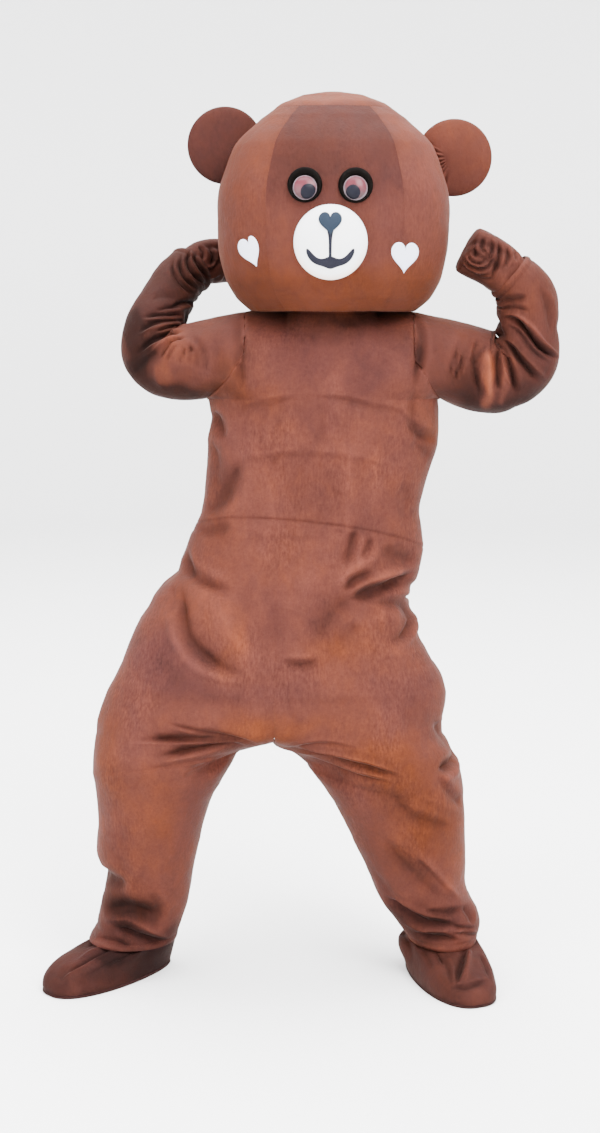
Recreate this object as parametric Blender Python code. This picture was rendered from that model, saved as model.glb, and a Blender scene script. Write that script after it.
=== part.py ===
"""Bear mascot costume: a plush suit with sleeves and trousers, a foam head, mitts and foot covers.

The costume keeps its worn, hollow form. The origin is the base of the neck, where the wearer's
shoulders carry it. +Z is up, the front faces -Y, and +X is the viewer's right. Sizes are in metres.
"""

import math

import bmesh
import bpy
import numpy as np

# Driving dimensions
CLOTH = 0.002
FOAM = 0.012
SEAM_GAP = 0.0003
FLOOR_Z = -1.350

# Head: a rounded square, widest above the middle
HEAD_X = 0.002
HEAD_BASE_Z = -0.004
CROWN_SEAM_Z = 0.376
HEAD_ROUNDNESS = 2.8
NECK_HOLE = 0.120
FACE_ANGLE = 27
BACK_ANGLE = 140
HEAD_PROFILE = {
    "z": (-0.004, 0.020, 0.054, 0.110, 0.171, 0.224, 0.284, 0.315, 0.358, 0.386, 0.403, 0.410),
    "half_width": (0.160, 0.187, 0.207, 0.220, 0.223, 0.220, 0.201, 0.184, 0.140, 0.102, 0.060, 0.020),
    "half_depth": (0.150, 0.172, 0.190, 0.202, 0.206, 0.202, 0.186, 0.170, 0.132, 0.098, 0.058, 0.020),
}
HEAD_ROWS = 9
FACE_COLUMNS, SIDE_COLUMNS, BACK_COLUMNS = 7, 7, 5

# Ears: (x, z) of the centre and the radius of each stuffed disc
EARS = {"left": (-0.208, 0.310, 0.074), "right": (0.236, 0.291, 0.073)}
EAR_THICKNESS, EAR_COLUMNS, EAR_GAP = 0.036, 20, 0.0010

# Face, as (x, z) on the front of the head
MUZZLE_AT, MUZZLE_RADIUS, MUZZLE_HEIGHT = (-0.006, 0.120), 0.069, 0.030
NOSE_AT, NOSE_SIZE = (-0.006, 0.155), 0.021
MOUTH_AT, MOUTH_HALF_WIDTH = (-0.006, 0.084), 0.045
PHILTRUM_TOP, PHILTRUM_LOW, PHILTRUM_HALF_WIDTH = 0.1345, 0.0925, 0.0025
EYES = {"left": (-0.053, 0.226), "right": (0.044, 0.225)}
EYE_RADIUS, IRIS_RADIUS, PUPIL_RADIUS = 0.0315, 0.0240, 0.0125
PUPIL_SHIFT = (0.0078, -0.0056)
CHEEK_COLUMNS = ("x", "z", "half_height", "width", "tilt")
CHEEKS = {"left": (-0.152, 0.106, 0.032, 0.66, 12), "right": (0.132, 0.097, 0.032, 0.84, -3)}
FELT = 0.002
STAND_OFF = 0.0009

# Bodice: the side and centre lines of each row, from the waist seam to the armpits
TORSO = {
    "z": (-0.470, -0.421, -0.399, -0.351, -0.304, -0.256, -0.209, -0.172),
    "left": (-0.290, -0.268, -0.258, -0.250, -0.247, -0.245, -0.238, -0.243),
    "right": (0.185, 0.178, 0.175, 0.184, 0.198, 0.211, 0.211, 0.210),
    "front": (0.136, 0.132, 0.130, 0.128, 0.128, 0.130, 0.130, 0.128),
    "back": (0.128, 0.120, 0.118, 0.118, 0.122, 0.128, 0.130, 0.130),
}
WAIST_Z = {"left": -0.421, "right": -0.470, "centre": -0.404}
ARMPIT = {"left": (-0.243, -0.172), "right": (0.210, -0.172)}
SHOULDER_TIP = {"left": (-0.168, -0.0058), "right": (0.158, -0.0058)}
ARMHOLE_DEPTH = 0.094
CHEST_Z = -0.172
NECK_HALF_WIDTH, NECK_FRONT, NECK_BACK, NECK_Z = 0.086, 0.090, 0.080, 0.006
BODICE_COLUMNS, BODICE_LOWER_ROWS, BODICE_UPPER_ROWS = 16, 9, 8

# Trousers: one row for each section, with the outer side seam, the centre seam or inseam, and the
# angle that the front goes round, which is 90 at a centre seam and 180 at an inseam
LEGS = {
    "left_z": (-0.421, -0.496, -0.565, -0.642, -0.716, -0.790, -0.865, -0.930, -0.985, -1.040, -1.092,
               -1.143, -1.195, -1.246, -1.280),
    "left_x": (-0.268, -0.301, -0.344, -0.393, -0.426, -0.459, -0.477, -0.481, -0.478, -0.475, -0.478,
               -0.462, -0.468, -0.478, -0.480),
    "right_z": (-0.470, -0.530, -0.590, -0.650, -0.716, -0.780, -0.845, -0.905, -0.965, -1.030, -1.092,
                -1.143, -1.195, -1.246, -1.284),
    "right_x": (0.185, 0.174, 0.156, 0.176, 0.217, 0.227, 0.226, 0.252, 0.268, 0.273, 0.274,
                0.275, 0.286, 0.305, 0.300),
    "seam_z": (-0.404, -0.478, -0.550, -0.625, -0.700, -0.765, -0.822, -0.862, -0.915, -0.985, -1.060,
               -1.130, -1.190, -1.243, -1.280),
    "left_seam_x": (-0.030, -0.058, -0.085, -0.108, -0.112, -0.113, -0.112, -0.118, -0.213, -0.250, -0.271,
                    -0.283, -0.292, -0.308, -0.319),
    "right_seam_x": (-0.030, -0.058, -0.085, -0.108, -0.112, -0.113, -0.112, -0.104, -0.036, 0.007, 0.046,
                     0.074, 0.098, 0.136, 0.158),
    "front": (0.132, 0.142, 0.152, 0.160, 0.165, 0.166, 0.162, 0.154, 0.142, 0.130, 0.118,
              0.105, 0.095, 0.089, 0.086),
    "back": (0.120, 0.134, 0.152, 0.170, 0.182, 0.186, 0.182, 0.168, 0.150, 0.136, 0.124,
             0.110, 0.100, 0.094, 0.090),
    "turn": (90, 90, 90, 90, 93, 104, 132, 180, 180, 180, 180, 180, 180, 180, 180),
}
LEG_COLUMNS, LEG_ROWS, LEG_GAP = 8, 24, 0.0002
SECTION_POWER = 0.92

# Sleeves and mitts: centre lines (x, y, z) and the radius at each point
SLEEVES = {
    "left": ((-0.240, 0.000, -0.092, 0.080), (-0.296, 0.000, -0.104, 0.070),
             (-0.342, 0.006, -0.092, 0.065), (-0.351, 0.024, -0.042, 0.059),
             (-0.334, 0.058, 0.014, 0.056), (-0.304, 0.092, 0.056, 0.051),
             (-0.278, 0.112, 0.077, 0.047)),
    "right": ((0.238, 0.000, -0.094, 0.081), (0.282, -0.002, -0.115, 0.079),
              (0.326, -0.008, -0.122, 0.074), (0.370, -0.018, -0.092, 0.067),
              (0.380, -0.026, -0.034, 0.060), (0.377, -0.032, 0.022, 0.060),
              (0.364, -0.038, 0.055, 0.054), (0.343, -0.040, 0.074, 0.049)),
}
MITTS = {
    "left": ((-0.292, 0.101, 0.066), (-0.256, 0.129, 0.086), (-0.218, 0.160, 0.092)),
    "right": ((0.359, -0.039, 0.060), (0.306, -0.045, 0.097), (0.250, -0.050, 0.128)),
}
MITT_SHAPE = {"along": (0.00, 0.14, 0.34, 0.60, 0.82, 0.94, 1.00), "size": (0.68, 0.72, 0.96, 1.03, 0.97, 0.80, 0.50)}
MITT_RADIUS = {"left": 0.044, "right": 0.046}
SLEEVE_ROWS, SLEEVE_COLUMNS = 22, 16
ARM_LENGTH = {"left": 0.34, "right": 0.44}
MITT_ROWS, MITT_COLUMNS = 7, 20

# Foot covers: (heel x, heel y), (toe x, toe y) on the floor and the ankle's centre
FEET = {
    "left": {"heel": (-0.342, 0.058), "toe": (-0.563, -0.146), "ankle": (-0.399, 0.004)},
    "right": {"heel": (0.182, 0.066), "toe": (0.292, -0.206), "ankle": (0.229, 0.004)},
}
SOLE, SOLE_HALF_WIDTH, ANKLE_RADIUS, ANKLE_TOP_Z = 0.006, 0.066, 0.066, -1.262
FOOT_ROWS, FOOT_COLUMNS = 6, 20

# Folds of the suit, drawn as lines on the front (-1) or the back (+1); depth is how far a trough
# sinks in, and a negative depth is a ridge
FOLD_COLUMNS = ("side", "x0", "z0", "x1", "z1", "width", "depth")
SUIT_FOLDS = (
    (-1, -0.300, -0.535, -0.282, -0.650, 0.026, 0.015),
    (-1, -0.282, -0.650, -0.225, -0.720, 0.028, 0.013),
    (-1, -0.250, -0.540, -0.215, -0.640, 0.024, -0.007),
    (-1, 0.190, -0.590, 0.060, -0.582, 0.026, 0.014),
    (-1, 0.110, -0.540, 0.020, -0.545, 0.024, -0.007),
    (-1, 0.030, -0.250, 0.026, -0.500, 0.022, -0.008),
    (-1, -0.440, -0.835, -0.250, -0.822, 0.030, 0.013),
    (-1, -0.390, -0.890, -0.235, -0.872, 0.026, -0.009),
    (-1, -0.410, -0.940, -0.250, -0.925, 0.026, 0.010),
    (-1, 0.000, -0.828, 0.160, -0.850, 0.030, 0.013),
    (-1, 0.010, -0.885, 0.160, -0.925, 0.026, -0.009),
    (-1, 0.030, -0.935, 0.180, -0.980, 0.026, 0.010),
    (-1, 0.235, -0.760, 0.130, -0.800, 0.018, 0.009),
    (-1, 0.100, -1.010, 0.240, -1.060, 0.018, 0.008),
    (-1, 0.085, -1.050, 0.180, -1.150, 0.016, 0.008),
    (-1, 0.150, -1.100, 0.262, -1.190, 0.016, -0.008),
    (-1, 0.110, -1.200, 0.290, -1.190, 0.016, 0.008),
    (-1, 0.125, -1.245, 0.300, -1.235, 0.016, 0.008),
    (-1, -0.470, -1.120, -0.380, -1.150, 0.016, 0.010),
    (-1, -0.478, -1.205, -0.310, -1.225, 0.014, 0.009),
    (-1, -0.470, -1.160, -0.350, -1.180, 0.014, 0.006),
    (-1, -0.478, -1.250, -0.330, -1.262, 0.012, 0.007),
    (1, -0.240, -0.520, -0.060, -0.560, 0.020, 0.009),
    (1, 0.160, -0.560, -0.010, -0.600, 0.020, 0.009),
    (1, -0.380, -0.860, -0.180, -0.830, 0.020, 0.010),
    (1, 0.180, -0.880, -0.050, -0.840, 0.020, 0.010),
    (1, -0.450, -1.090, -0.300, -1.060, 0.018, 0.010),
    (1, 0.240, -1.090, 0.070, -1.050, 0.018, 0.010),
    (1, -0.470, -1.215, -0.320, -1.200, 0.014, 0.008),
    (1, 0.290, -1.220, 0.110, -1.200, 0.014, 0.008),
    (1, -0.190, -0.240, -0.080, -0.330, 0.020, 0.007),
    (1, 0.160, -0.250, 0.050, -0.330, 0.020, 0.007),
)

# Folds of the sleeves: where along the arm (0 to 1), the angle round it that the fold is deepest at
# (0 below the arm and outside the elbow, 90 in front, 180 above it), and how far it runs each way
SLEEVE_FOLD_COLUMNS = ("along", "angle", "spread", "slant", "width", "depth")
SLEEVE_FOLDS = {
    "left": (
        (0.30, 165, 80, -0.08, 0.014, 0.008), (0.40, 160, 95, -0.03, 0.014, 0.012),
        (0.49, 160, 100, 0.02, 0.014, 0.014), (0.58, 160, 95, 0.07, 0.014, 0.012),
        (0.68, 165, 80, 0.08, 0.014, 0.008), (0.80, 180, 130, 0.02, 0.014, 0.006),
        (0.90, 180, 150, 0.00, 0.014, 0.004),
    ),
    "right": (
        (0.24, 170, 80, -0.10, 0.015, 0.008), (0.33, 165, 100, -0.06, 0.015, 0.012),
        (0.42, 165, 105, -0.02, 0.015, 0.014), (0.51, 165, 105, 0.03, 0.015, 0.014),
        (0.60, 165, 95, 0.08, 0.015, 0.012), (0.70, 155, 85, 0.12, 0.016, 0.011),
        (0.85, 190, 90, 0.04, 0.016, 0.008),
    ),
}
MITT_GROOVES = {"angle": (54, 90, 126), "width": 9, "depth": 0.007}

COLOURS = {
    "plush": (0.36, 0.13, 0.075), "plush_dark": (0.20, 0.062, 0.045), "ear": (0.24, 0.085, 0.06),
    "white": (0.90, 0.91, 0.93), "felt": (0.75, 0.76, 0.86), "nose": (0.11, 0.16, 0.27),
    "mouth": (0.11, 0.12, 0.14), "rim": (0.012, 0.010, 0.010), "iris": (0.36, 0.16, 0.17),
    "pupil": (0.03, 0.03, 0.035), "sole": (0.10, 0.045, 0.035),
}


# ---- shared geometry ----

def unit(vectors):
    lengths = np.linalg.norm(vectors, axis=-1, keepdims=True)
    return vectors / np.maximum(lengths, 1e-12)


def smooth_step(value):
    value = np.clip(value, 0.0, 1.0)
    return value * value * (3 - 2 * value)


def steady_slopes(values):
    """Slopes that never let a curve swing past its own values."""
    steps = np.diff(values, axis=0)
    before, after = steps[:-1], steps[1:]
    together = np.where(before * after > 0, 2 * before * after / np.where(before + after == 0, 1, before + after), 0)
    return np.concatenate([steps[:1], together, steps[-1:]])


def curve_through(values, at, steady=False):
    """A smooth curve through evenly numbered values, read at the places in at (0 to 1)."""
    values = np.asarray(values, float)
    if values.ndim == 1:
        values = values[:, None]
    last = len(values) - 1
    where = np.clip(np.asarray(at, float), 0, 1) * last
    index = np.minimum(where.astype(int), last - 1)
    part = (where - index)[..., None]
    slopes = steady_slopes(values) if steady else np.gradient(values, axis=0)
    start, end = values[index], values[index + 1]
    lean, leave = slopes[index], slopes[index + 1]
    square, cube = part * part, part * part * part
    found = ((2 * cube - 3 * square + 1) * start + (cube - 2 * square + part) * lean
             + (3 * square - 2 * cube) * end + (cube - square) * leave)
    return found[..., 0] if found.shape[-1] == 1 else found


def grid_normals(grid, closed):
    """Unit normals of a grid of points; a closed grid joins its last column to its first."""
    along = np.gradient(grid, axis=0)
    if closed:
        across = np.roll(grid, -1, axis=1) - np.roll(grid, 1, axis=1)
    else:
        across = np.gradient(grid, axis=1)
    return unit(np.cross(along, across))


def border_of(piece):
    """Row and column numbers of the points on the free edges of a piece."""
    rows, columns = piece["grid"].shape[:2]
    found = [(0, j) for j in range(columns)]
    if not piece["cap"]:
        found += [(rows - 1, j) for j in range(columns)]
    if not piece["closed"]:
        found += [(i, j) for i in range(1, rows - 1) for j in (0, columns - 1)]
    return found


def share_seam_normals(pieces, within=0.0012):
    """Where pieces meet smoothly, their normals at the seam are made the same."""
    points, normals, places = [], [], []
    for number, piece in enumerate(pieces):
        for i, j in border_of(piece):
            points.append(piece["grid"][i, j])
            normals.append(piece["normals"][i, j])
            places.append((number, i, j))
    points, normals = np.array(points), np.array(normals)
    owners = np.array([place[0] for place in places])
    for k, (number, i, j) in enumerate(places):
        near = np.linalg.norm(points - points[k], axis=1) < within
        alike = near & (normals @ normals[k] > 0.15)
        if len(set(owners[alike])) > 1:
            pieces[number]["normals"][i, j] = unit(normals[alike].sum(axis=0))


def find_normals(pieces):
    for piece in pieces:
        piece["normals"] = piece["outward"] * grid_normals(piece["grid"], piece["closed"])
        if piece["level_end"]:
            piece["normals"][-1, :, 2] = 0
            piece["normals"][-1] = unit(piece["normals"][-1])
    share_seam_normals(pieces)


def set_outward(piece, inside):
    """Chooses the sign that makes the normals point away from the points in inside."""
    normals = grid_normals(piece["grid"], piece["closed"])
    away = ((piece["grid"] - inside) * normals).sum()
    piece["outward"] = 1.0 if away > 0 else -1.0


def pull_seams_apart(piece):
    """Moves each free edge back by half a seam gap, towards the next row or column."""
    grid = piece["grid"]
    back = SEAM_GAP / 2 * 1.15
    moved = grid.copy()
    moved[0] += back * unit(grid[1] - grid[0])
    if not piece["cap"]:
        moved[-1] += back * unit(grid[-2] - grid[-1])
    if not piece["closed"]:
        moved[:, 0] += back * unit(grid[:, 1] - grid[:, 0])
        moved[:, -1] += back * unit(grid[:, -2] - grid[:, -1])
    piece["grid"] = moved


def new_piece(name, grid, inside, material, thickness=CLOTH, closed=False, cap=False, level_end=False):
    piece = {"name": name, "grid": np.asarray(grid, float), "closed": closed, "cap": cap,
             "level_end": level_end, "thickness": thickness, "material": material}
    set_outward(piece, np.asarray(inside, float))
    return piece


# ---- meshes and materials ----

def material(name):
    made = bpy.data.materials.get(name)
    if made is None:
        made = bpy.data.materials.new(name)
        made.use_nodes = True
        shader = made.node_tree.nodes["Principled BSDF"]
        shader.inputs["Base Color"].default_value = (*COLOURS[name], 1)
        shader.inputs["Roughness"].default_value = 0.3 if name in ("rim", "iris", "pupil") else 0.85
        shader.inputs["Metallic"].default_value = 0.0
    return made


def add_object(name, mesh, material_name):
    mesh.shade_smooth()
    mesh.set_sharp_from_angle(angle=math.radians(50))
    mesh.materials.append(material(material_name))
    made = bpy.data.objects.new(name, mesh)
    bpy.data.collections["bear_mascot_costume"].objects.link(made)
    return made


def layered_solid(name, outer, inner, closed, cap, material_name):
    """Lofts a closed solid between two grids; with cap, the last row closes with one flat face."""
    work = bmesh.new()
    rows, columns = outer.shape[:2]
    top = [[work.verts.new(outer[i, j]) for j in range(columns)] for i in range(rows)]
    low = [[work.verts.new(inner[i, j]) for j in range(columns)] for i in range(rows)]
    spans = columns if closed else columns - 1
    for i in range(rows - 1):
        for j in range(spans):
            k = (j + 1) % columns
            work.faces.new((top[i][j], top[i][k], top[i + 1][k], top[i + 1][j]))
            work.faces.new((low[i][j], low[i + 1][j], low[i + 1][k], low[i][k]))
    edges = [0] if cap else [0, rows - 1]
    for i in edges:
        for j in range(spans):
            k = (j + 1) % columns
            work.faces.new((top[i][j], low[i][j], low[i][k], top[i][k]))
    if cap:
        work.faces.new(top[-1])
        work.faces.new(low[-1])
    if not closed:
        for j in (0, columns - 1):
            for i in range(rows - 1):
                work.faces.new((top[i][j], top[i + 1][j], low[i + 1][j], low[i][j]))
    bmesh.ops.recalc_face_normals(work, faces=work.faces)
    mesh = bpy.data.meshes.new(name)
    work.to_mesh(mesh)
    work.free()
    return add_object(name, mesh, material_name)


def sew(pieces, folds=None):
    """Gives a set of pieces their folds, seam gaps and wall thickness, and makes the objects."""
    find_normals(pieces)
    if folds:
        for piece in pieces:
            piece["grid"] = piece["grid"] - folds(piece)[..., None] * piece["normals"]
        find_normals(pieces)
    for piece in pieces:
        pull_seams_apart(piece)
        inner = piece["grid"] - piece["thickness"] * piece["normals"]
        layered_solid(piece["name"], piece["grid"], inner, piece["closed"], piece["cap"], piece["material"])


# ---- head ----

def head_section(z):
    """Half width and half depth of the head at a height."""
    profile = HEAD_PROFILE
    at = np.interp(z, profile["z"], np.linspace(0, 1, len(profile["z"])))
    return curve_through(profile["half_width"], at), curve_through(profile["half_depth"], at)


def head_point(angle, z):
    """A point of the head's outside: angle 0 is the front, 90 the viewer's right."""
    half_width, half_depth = head_section(z)
    turn, power = np.radians(angle), 2 / HEAD_ROUNDNESS
    sine, cosine = np.sin(turn), np.cos(turn)
    x = HEAD_X + half_width * np.sign(sine) * np.abs(sine) ** power
    y = -half_depth * np.sign(cosine) * np.abs(cosine) ** power
    return np.stack([x, y, np.broadcast_to(z, np.shape(x))], axis=-1)


def head_front(x, z):
    """The point of the head's front at (x, z), with its outward normal."""
    def point(px, pz):
        half_width, half_depth = head_section(pz)
        side = np.clip(np.abs(px - HEAD_X) / half_width, 0, 0.999)
        y = -half_depth * (1 - side ** HEAD_ROUNDNESS) ** (1 / HEAD_ROUNDNESS)
        return np.stack([px, y, pz], axis=-1)

    step = 0.002
    along_x = point(x + step, z) - point(x - step, z)
    along_z = point(x, z + step) - point(x, z - step)
    return point(x, z), unit(np.cross(along_x, along_z))


def head_angles():
    face = np.linspace(-FACE_ANGLE, FACE_ANGLE, FACE_COLUMNS + 1)
    right = np.linspace(FACE_ANGLE, BACK_ANGLE, SIDE_COLUMNS + 1)
    back = np.linspace(BACK_ANGLE, 360 - BACK_ANGLE, BACK_COLUMNS + 1)
    left = np.linspace(360 - BACK_ANGLE, 360 - FACE_ANGLE, SIDE_COLUMNS + 1)
    return {"head_face": face, "head_side_right": right, "head_back": back, "head_side_left": left}


def make_head():
    angles = head_angles()
    centre = np.array([HEAD_X, 0, 0.2])
    shares = np.linspace(0, 1, HEAD_ROWS + 1)
    heights = HEAD_BASE_Z + (CROWN_SEAM_Z - HEAD_BASE_Z) * (shares - 0.09 * np.sin(2 * math.pi * shares))
    pieces = []
    for name, turns in angles.items():
        grid = head_point(turns[None, :], heights[:, None])
        pieces.append(new_piece(name, grid, centre, "plush", FOAM))
    ring = np.concatenate([turns[:-1] for turns in angles.values()])
    crown_heights = np.array([CROWN_SEAM_Z, 0.388, 0.398, 0.405, 0.4095])
    crown = head_point(ring[None, :], crown_heights[:, None])
    pieces.append(new_piece("head_crown", crown, centre, "plush", FOAM, closed=True, cap=True))
    turn = np.radians(ring)
    edge = head_point(ring, HEAD_BASE_Z)
    hole = np.stack([HEAD_X + NECK_HOLE * np.sin(turn), -NECK_HOLE * np.cos(turn), edge[:, 2]], axis=-1)
    base = np.stack([edge + (hole - edge) * part for part in (0, 0.5, 1)])
    pieces.append(new_piece("head_base", base, centre, "plush", FOAM, closed=True))
    sew(pieces)


def applique(name, surface, at, outline, height, material_name, lift=STAND_OFF, inner=0.0, rings=3, columns=22):
    """A solid that lies on a surface: outline gives its radius at an angle, height its thickness."""
    turns = np.linspace(0, 2 * math.pi, columns, endpoint=False)
    shares = np.linspace(1, max(inner, 0.3 / rings), rings + 1)
    spread = shares[:, None] * outline(turns)[None, :]
    x = at[0] + spread * np.cos(turns)
    z = at[1] + spread * np.sin(turns)
    points, normals = surface(x, z)
    under = points + normals * lift
    over = under + normals * height(shares[:, None] * np.ones_like(x), spread)[..., None]
    layered_solid(name, over, under, True, inner == 0, material_name)


def raised(surface, at, radius, dome, lift=STAND_OFF):
    """The surface of a dome that lies on another surface, for what is sewn on the dome."""
    def found(x, z):
        points, normals = surface(x, z)
        away = np.hypot(x - at[0], z - at[1])
        step = 0.0015
        height = lift + dome(away)
        slope = (dome(away + step) - dome(away - step)) / (2 * step)
        out = np.stack([(x - at[0]), np.zeros_like(x), (z - at[1])], axis=-1)
        out = out / np.maximum(away, 1e-6)[..., None]
        return points + normals * height[..., None], unit(normals - out * slope[..., None])
    return found


def heart_outline(size, width=1.0, tilt=0.0):
    """Radius of a heart at each angle, its notch up; size is its half height, width its proportion."""
    t = np.linspace(0, 2 * math.pi, 400)
    x = width * 16 * np.sin(t) ** 3
    z = 13 * np.cos(t) - 5 * np.cos(2 * t) - 2 * np.cos(3 * t) - np.cos(4 * t) + 2.5
    angle = np.arctan2(z, x) + math.radians(tilt)
    angle = np.mod(angle, 2 * math.pi)
    order = np.argsort(angle)
    radius = np.hypot(x, z) * size / 15.0

    def found(turns):
        return np.interp(turns, angle[order], radius[order], period=2 * math.pi)
    return found


def muzzle_dome(away):
    share = np.clip(1 - (away / MUZZLE_RADIUS) ** 2, 0, 1)
    return 0.004 + (MUZZLE_HEIGHT - 0.004) * share ** 0.6


def make_muzzle():
    def radius(turns):
        return np.full_like(turns, MUZZLE_RADIUS)

    applique("muzzle", head_front, MUZZLE_AT, radius, lambda share, away: muzzle_dome(away), "white",
             rings=4, columns=24)
    dome = raised(head_front, MUZZLE_AT, MUZZLE_RADIUS, muzzle_dome)
    applique("nose", dome, NOSE_AT, heart_outline(NOSE_SIZE),
             lambda share, away: 0.002 + 0.004 * (1 - share ** 2), "nose", rings=2)
    make_strip("philtrum", dome, [(NOSE_AT[0], PHILTRUM_TOP), (NOSE_AT[0], PHILTRUM_LOW)],
               PHILTRUM_HALF_WIDTH, "mouth")
    across = np.linspace(-1, 1, 15)
    middle = MOUTH_AT[1] + 0.020 * np.abs(across) ** 3.5 - 0.005 * np.exp(-(across / 0.32) ** 2)
    half = 0.0050 * np.sqrt(1 - 0.97 * across ** 2) + 0.0050 * np.exp(-(across / 0.30) ** 4)
    line = list(zip(MOUTH_AT[0] + MOUTH_HALF_WIDTH * across, middle))
    make_strip("mouth", dome, line, half, "mouth")


def make_strip(name, surface, line, half_width, material_name):
    """A strip of felt along a line of (x, z) points on a surface."""
    line = np.asarray(line, float)
    if len(line) == 2:
        line = line[0] + (line[1] - line[0]) * np.linspace(0, 1, 5)[:, None]
    tangent = unit(np.gradient(line, axis=0))
    side = np.stack([-tangent[:, 1], tangent[:, 0]], axis=-1)
    half = np.broadcast_to(half_width, len(line))[:, None]
    lanes = [line + side * half * place for place in (-1, -0.33, 0.33, 1)]
    x = np.stack([lane[:, 0] for lane in lanes])
    z = np.stack([lane[:, 1] for lane in lanes])
    points, normals = surface(x, z)
    under = points + normals * STAND_OFF
    layered_solid(name, under + normals * FELT, under, False, False, material_name)


def make_eye(side):
    at = EYES[side]

    def radius(size):
        return lambda turns: np.full_like(turns, size)

    def rim_height(share, away):
        across = (away - IRIS_RADIUS) / (EYE_RADIUS - IRIS_RADIUS)
        return 0.003 + 0.006 * np.sqrt(np.clip(1 - (2 * across - 1) ** 2, 0, 1))

    def dome(away):
        return 0.002 + 0.006 * np.clip(1 - (away / (IRIS_RADIUS - 0.0005)) ** 2, 0, 1)

    inner = IRIS_RADIUS / EYE_RADIUS
    applique(f"eye_rim_{side}", head_front, at, radius(EYE_RADIUS), rim_height, "rim",
             inner=inner, rings=3, columns=18)
    applique(f"eye_iris_{side}", head_front, at, radius(IRIS_RADIUS - 0.0005),
             lambda share, away: dome(away), "iris", rings=2, columns=18)
    inwards = 1 if side == "left" else -1
    pupil_at = (at[0] + inwards * PUPIL_SHIFT[0], at[1] + PUPIL_SHIFT[1])
    applique(f"eye_pupil_{side}", raised(head_front, at, IRIS_RADIUS, dome), pupil_at,
             radius(PUPIL_RADIUS), lambda share, away: 0.001 + 0.0015 * (1 - share ** 2), "pupil",
             rings=2, columns=16)


def ear_reach(side, turns):
    """Radius of an ear at each angle, cut short where it meets the side of the head."""
    x, z, radius = EARS[side]
    steps = np.linspace(0, radius, 300)
    found = np.full_like(turns, radius)
    for k, turn in enumerate(turns):
        along_x, along_z = x + steps * math.cos(turn), z + steps * math.sin(turn)
        half_width, _ = head_section(np.clip(along_z, HEAD_PROFILE["z"][0], HEAD_PROFILE["z"][-1]))
        touching = (np.abs(along_x - HEAD_X) < half_width + EAR_GAP) & (along_z < 0.413)
        if touching.any():
            found[k] = steps[max(int(np.argmax(touching)) - 1, 1)]
    return found


def make_ear(side):
    x, z, radius = EARS[side]
    turns = np.linspace(0, 2 * math.pi, EAR_COLUMNS, endpoint=False)
    reach = ear_reach(side, turns)
    shares = np.array([1.0, 0.85, 0.45])
    away = shares[:, None] * reach[None, :]
    bulge = 0.003 + (EAR_THICKNESS / 2 - 0.003) * np.sqrt(np.clip(1 - (away / radius) ** 2, 0, 1))
    for half, sign in (("front", -1), ("back", 1)):
        flat = np.stack([x + away * np.cos(turns), np.full_like(away, sign * SEAM_GAP * 0.6),
                         z + away * np.sin(turns)], axis=-1)
        full = flat.copy()
        full[..., 1] = sign * bulge
        layered_solid(f"ear_{side}_{half}", full, flat, True, True, "ear")


# ---- suit ----

def bent(angle):
    """Cosine and sine of a section's angle, squared off a little."""
    cosine, sine = np.cos(angle), np.sin(angle)
    return np.sign(cosine) * np.abs(cosine) ** SECTION_POWER, np.abs(sine) ** SECTION_POWER


def torso_value(column, z):
    return np.interp(z, TORSO["z"], TORSO[column])


def armhole(side, angle):
    """A point of the armhole edge: 0 is the armpit, 180 the shoulder tip, 90 the front."""
    (low_x, low_z), (tip_x, tip_z) = ARMPIT[side], SHOULDER_TIP[side]
    turn = np.radians(angle)
    out = ((1 + np.cos(turn)) / 2) ** 3
    x = tip_x + (low_x - tip_x) * out
    y = -ARMHOLE_DEPTH * np.sin(turn)
    z = (low_z + tip_z) / 2 + (low_z - tip_z) / 2 * np.cos(turn)
    return np.stack([x, y, z], axis=-1)


def bodice_row(left, right, centre, neck):
    """One row across the front or back; neck runs from 0 to 1 where the row becomes the neckline."""
    angle = np.linspace(math.pi, 0, BODICE_COLUMNS + 1)
    cosine, sine = bent(angle)
    middle, half = (left[0] + right[0]) / 2, (right[0] - left[0]) / 2
    x = middle + half * cosine
    share = (x - left[0]) / (2 * half)
    round_neck = np.sqrt(np.clip(1 - (x / NECK_HALF_WIDTH) ** 2, 0, 1))
    bow = sine + (round_neck - sine) * neck
    edge_y = left[1] + (right[1] - left[1]) * share
    edge_z = left[2] + (right[2] - left[2]) * share
    middle_y = (left[1] + right[1]) / 2
    middle_z = (left[2] + right[2]) / 2
    y = edge_y + (centre[0] - middle_y) * bow
    z = edge_z + (centre[1] - middle_z) * bow ** 1.3
    return np.stack([x, y, z], axis=-1)


def bodice_grid(sign):
    """Rows from the waist seam to the neckline: sign is -1 for the front and +1 for the back."""
    depth = "front" if sign < 0 else "back"
    rows = []
    for part in np.linspace(0, 1, BODICE_LOWER_ROWS + 1):
        left_z = WAIST_Z["left"] + (ARMPIT["left"][1] - WAIST_Z["left"]) * part
        right_z = WAIST_Z["right"] + (ARMPIT["right"][1] - WAIST_Z["right"]) * part
        centre_z = WAIST_Z["centre"] + (CHEST_Z - WAIST_Z["centre"]) * part
        left = (torso_value("left", left_z), 0, left_z)
        right = (torso_value("right", right_z), 0, right_z)
        rows.append(bodice_row(left, right, (sign * torso_value(depth, centre_z), centre_z), 0))
    neck_depth = NECK_FRONT if sign < 0 else NECK_BACK
    for part in np.linspace(0, 1, BODICE_UPPER_ROWS + 1)[1:]:
        left, right = armhole("left", 180 * part), armhole("right", 180 * part)
        left[1], right[1] = left[1] * -sign, right[1] * -sign
        chest = torso_value(depth, CHEST_Z)
        centre_y = sign * (chest + (neck_depth - chest) * part ** 2.2)
        centre_z = CHEST_Z + (NECK_Z - CHEST_Z) * part
        rows.append(bodice_row(left, right, (centre_y, centre_z), smooth_step((part - 0.45) / 0.55)))
    return np.stack(rows)


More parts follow.
